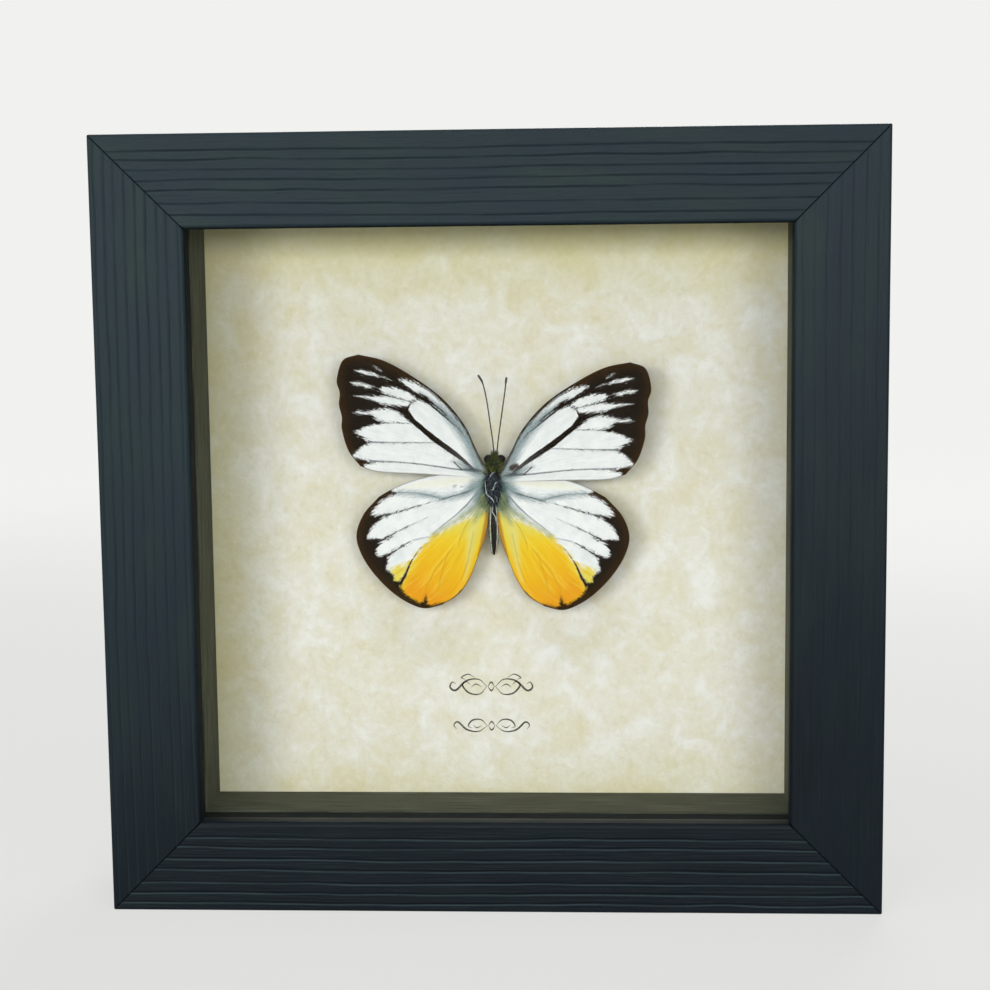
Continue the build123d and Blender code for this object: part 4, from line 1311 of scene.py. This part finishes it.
_, tree, shader = new_material("pressed hardboard")
place = millimetres(tree)
chips = cloud(stretched(place, 0.9, 0.9, 0.35), 1.0, detail=5.0, rough=0.7)
board = ramp(chips, (0.30, "#6b4a2e"), (0.52, "#7d5a3a"), (0.72, "#95714c"))
stains = fade(cloud(place, 30.0, detail=3.0), 0.5, 0.75)
finish(shader, blend(calc("MULTIPLY", stains, 0.3), board, rgb("#59391f")), 0.7, height=chips, depth=0.0001)
dress("pressed hardboard", "back_panel")

_, tree, shader = new_material("foam and card")
place = millimetres(tree)
bubbles = add(tree, "TexVoronoi", {"Vector": place, "Scale": 2.5}).outputs["Distance"]
finish(shader, ramp(bubbles, (0.1, "#d5d3cb"), (0.6, "#e9e8e2")), 0.85, height=bubbles, depth=0.0001)
dress("foam and card", "mount_board", "specimen_riser")


# %% [markdown]
# ## Floor, backdrop and light
# The case stands on a plain pale sweep. Its colour comes from the material: a camera ray, or a ray
# that a shiny surface sends out, sees it nearly white, and every other ray sees a plain pale grey,
# so that the floor doesn't flood the case with light. Near the case the sweep also takes some of the
# lamps' light, which is what lets it show a shadow. Two tall soft lamps stand in front at either
# side, and one hangs above the camera: high enough that the glass doesn't mirror it.

# %% Sweep behind the case
sweep_width, sweep_front, sweep_back, sweep_height, sweep_round = 8000, -12000, 1400, 2600, 700
mesh = bmesh.new()
line = [mesh.verts.new((-sweep_width / 2, y, z)) for y, z in
        ((sweep_front, -0.02), (sweep_back, -0.02), (sweep_back, sweep_height))]
edges = [mesh.edges.new((a, b)) for a, b in zip(line, line[1:])]
pulled = bmesh.ops.extrude_edge_only(mesh, edges=edges)["geom"]
moved = [v for v in pulled if isinstance(v, bmesh.types.BMVert)]
bmesh.ops.translate(mesh, verts=moved, vec=(sweep_width, 0, 0))
fold = [e for e in mesh.edges if all(abs(v.co.y - sweep_back) < 1 and abs(v.co.z) < 1 for v in e.verts)]
bmesh.ops.bevel(mesh, geom=fold, offset=sweep_round, segments=24, profile=0.5, affect="EDGES", material=-1)
bmesh.ops.recalc_face_normals(mesh, faces=mesh.faces)
bmesh.ops.scale(mesh, vec=(MM, MM, MM), verts=mesh.verts)
sweep_mesh = bpy.data.meshes.new("floor_sweep")
mesh.to_mesh(sweep_mesh)
mesh.free()
sweep_mesh.shade_smooth()
floor = bpy.data.objects.new("floor_sweep", sweep_mesh)
bpy.context.collection.objects.link(floor)


def looked_at(tree):
    """1 for rays from the camera, and for those that metal or glass sends on, and 0 for the rest."""
    rays = add(tree, "LightPath").outputs
    passed_on = calc("MAXIMUM", rays["Is Glossy Ray"], rays["Is Transmission Ray"])
    return calc("MAXIMUM", rays["Is Camera Ray"], passed_on)


material, tree, shader = new_material("pale sweep")
seen = looked_at(tree)
finish(shader, blend(seen, rgb("#9a9a98"), rgb("#c0c0be")), 0.9, 0.1)
glow = add(tree, "Emission", {"Color": rgb("#f4f4f2"), "Strength": 1.0})
distance = add(tree, "VectorMath", {0: millimetres(tree)}, operation="LENGTH").outputs["Value"]
shaded = calc("MULTIPLY", fade(distance, 750.0, 250.0), 0.27)
own_light = calc("MULTIPLY", seen, calc("SUBTRACT", 0.97, shaded))
pale = add(tree, "MixShader", {0: own_light, 1: shader.outputs[0], 2: glow.outputs[0]})
tree.links.new(pale.outputs[0], tree.nodes["Material Output"].inputs["Surface"])
sweep_mesh.materials.append(material)

world = bpy.data.worlds.new("studio")
bpy.context.scene.world = world
world.use_nodes = True
tree = world.node_tree
shade = blend(looked_at(tree), rgb("#7d7f80"), rgb("#f0f0ee"))
tree.links.new(shade, tree.nodes["Background"].inputs["Color"])


# %% Lamps
def soft_lamp(name, place, size, watts, colour="#ffffff"):
    """A soft lamp of this size that faces the middle of the case."""
    data = bpy.data.lights.new(name, "AREA")
    data.shape = "RECTANGLE"
    data.size, data.size_y = (s * MM for s in size)
    data.energy = watts
    data.color = rgb(colour)[:3]
    lamp = bpy.data.objects.new(name, data)
    bpy.context.collection.objects.link(lamp)
    lamp.location = Vector(place) * MM
    lamp.rotation_mode = "QUATERNION"
    lamp.rotation_quaternion = (camera_aim - lamp.location).to_track_quat("-Z", "Y")


soft_lamp("lamp_left", (-335, -690, 150), (220, 300), 1.2)
soft_lamp("lamp_right", (262, -690, 150), (240, 300), 0.9)
soft_lamp("lamp_above", (-60, -700, 222), (760, 140), 2.75)
soft_lamp("lamp_top", (-40, -240, 640), (520, 180), 1.1)
soft_lamp("lamp_behind", (180, 640, 420), (420, 320), 4.0)

bpy.context.scene.view_settings.view_transform = "Standard"
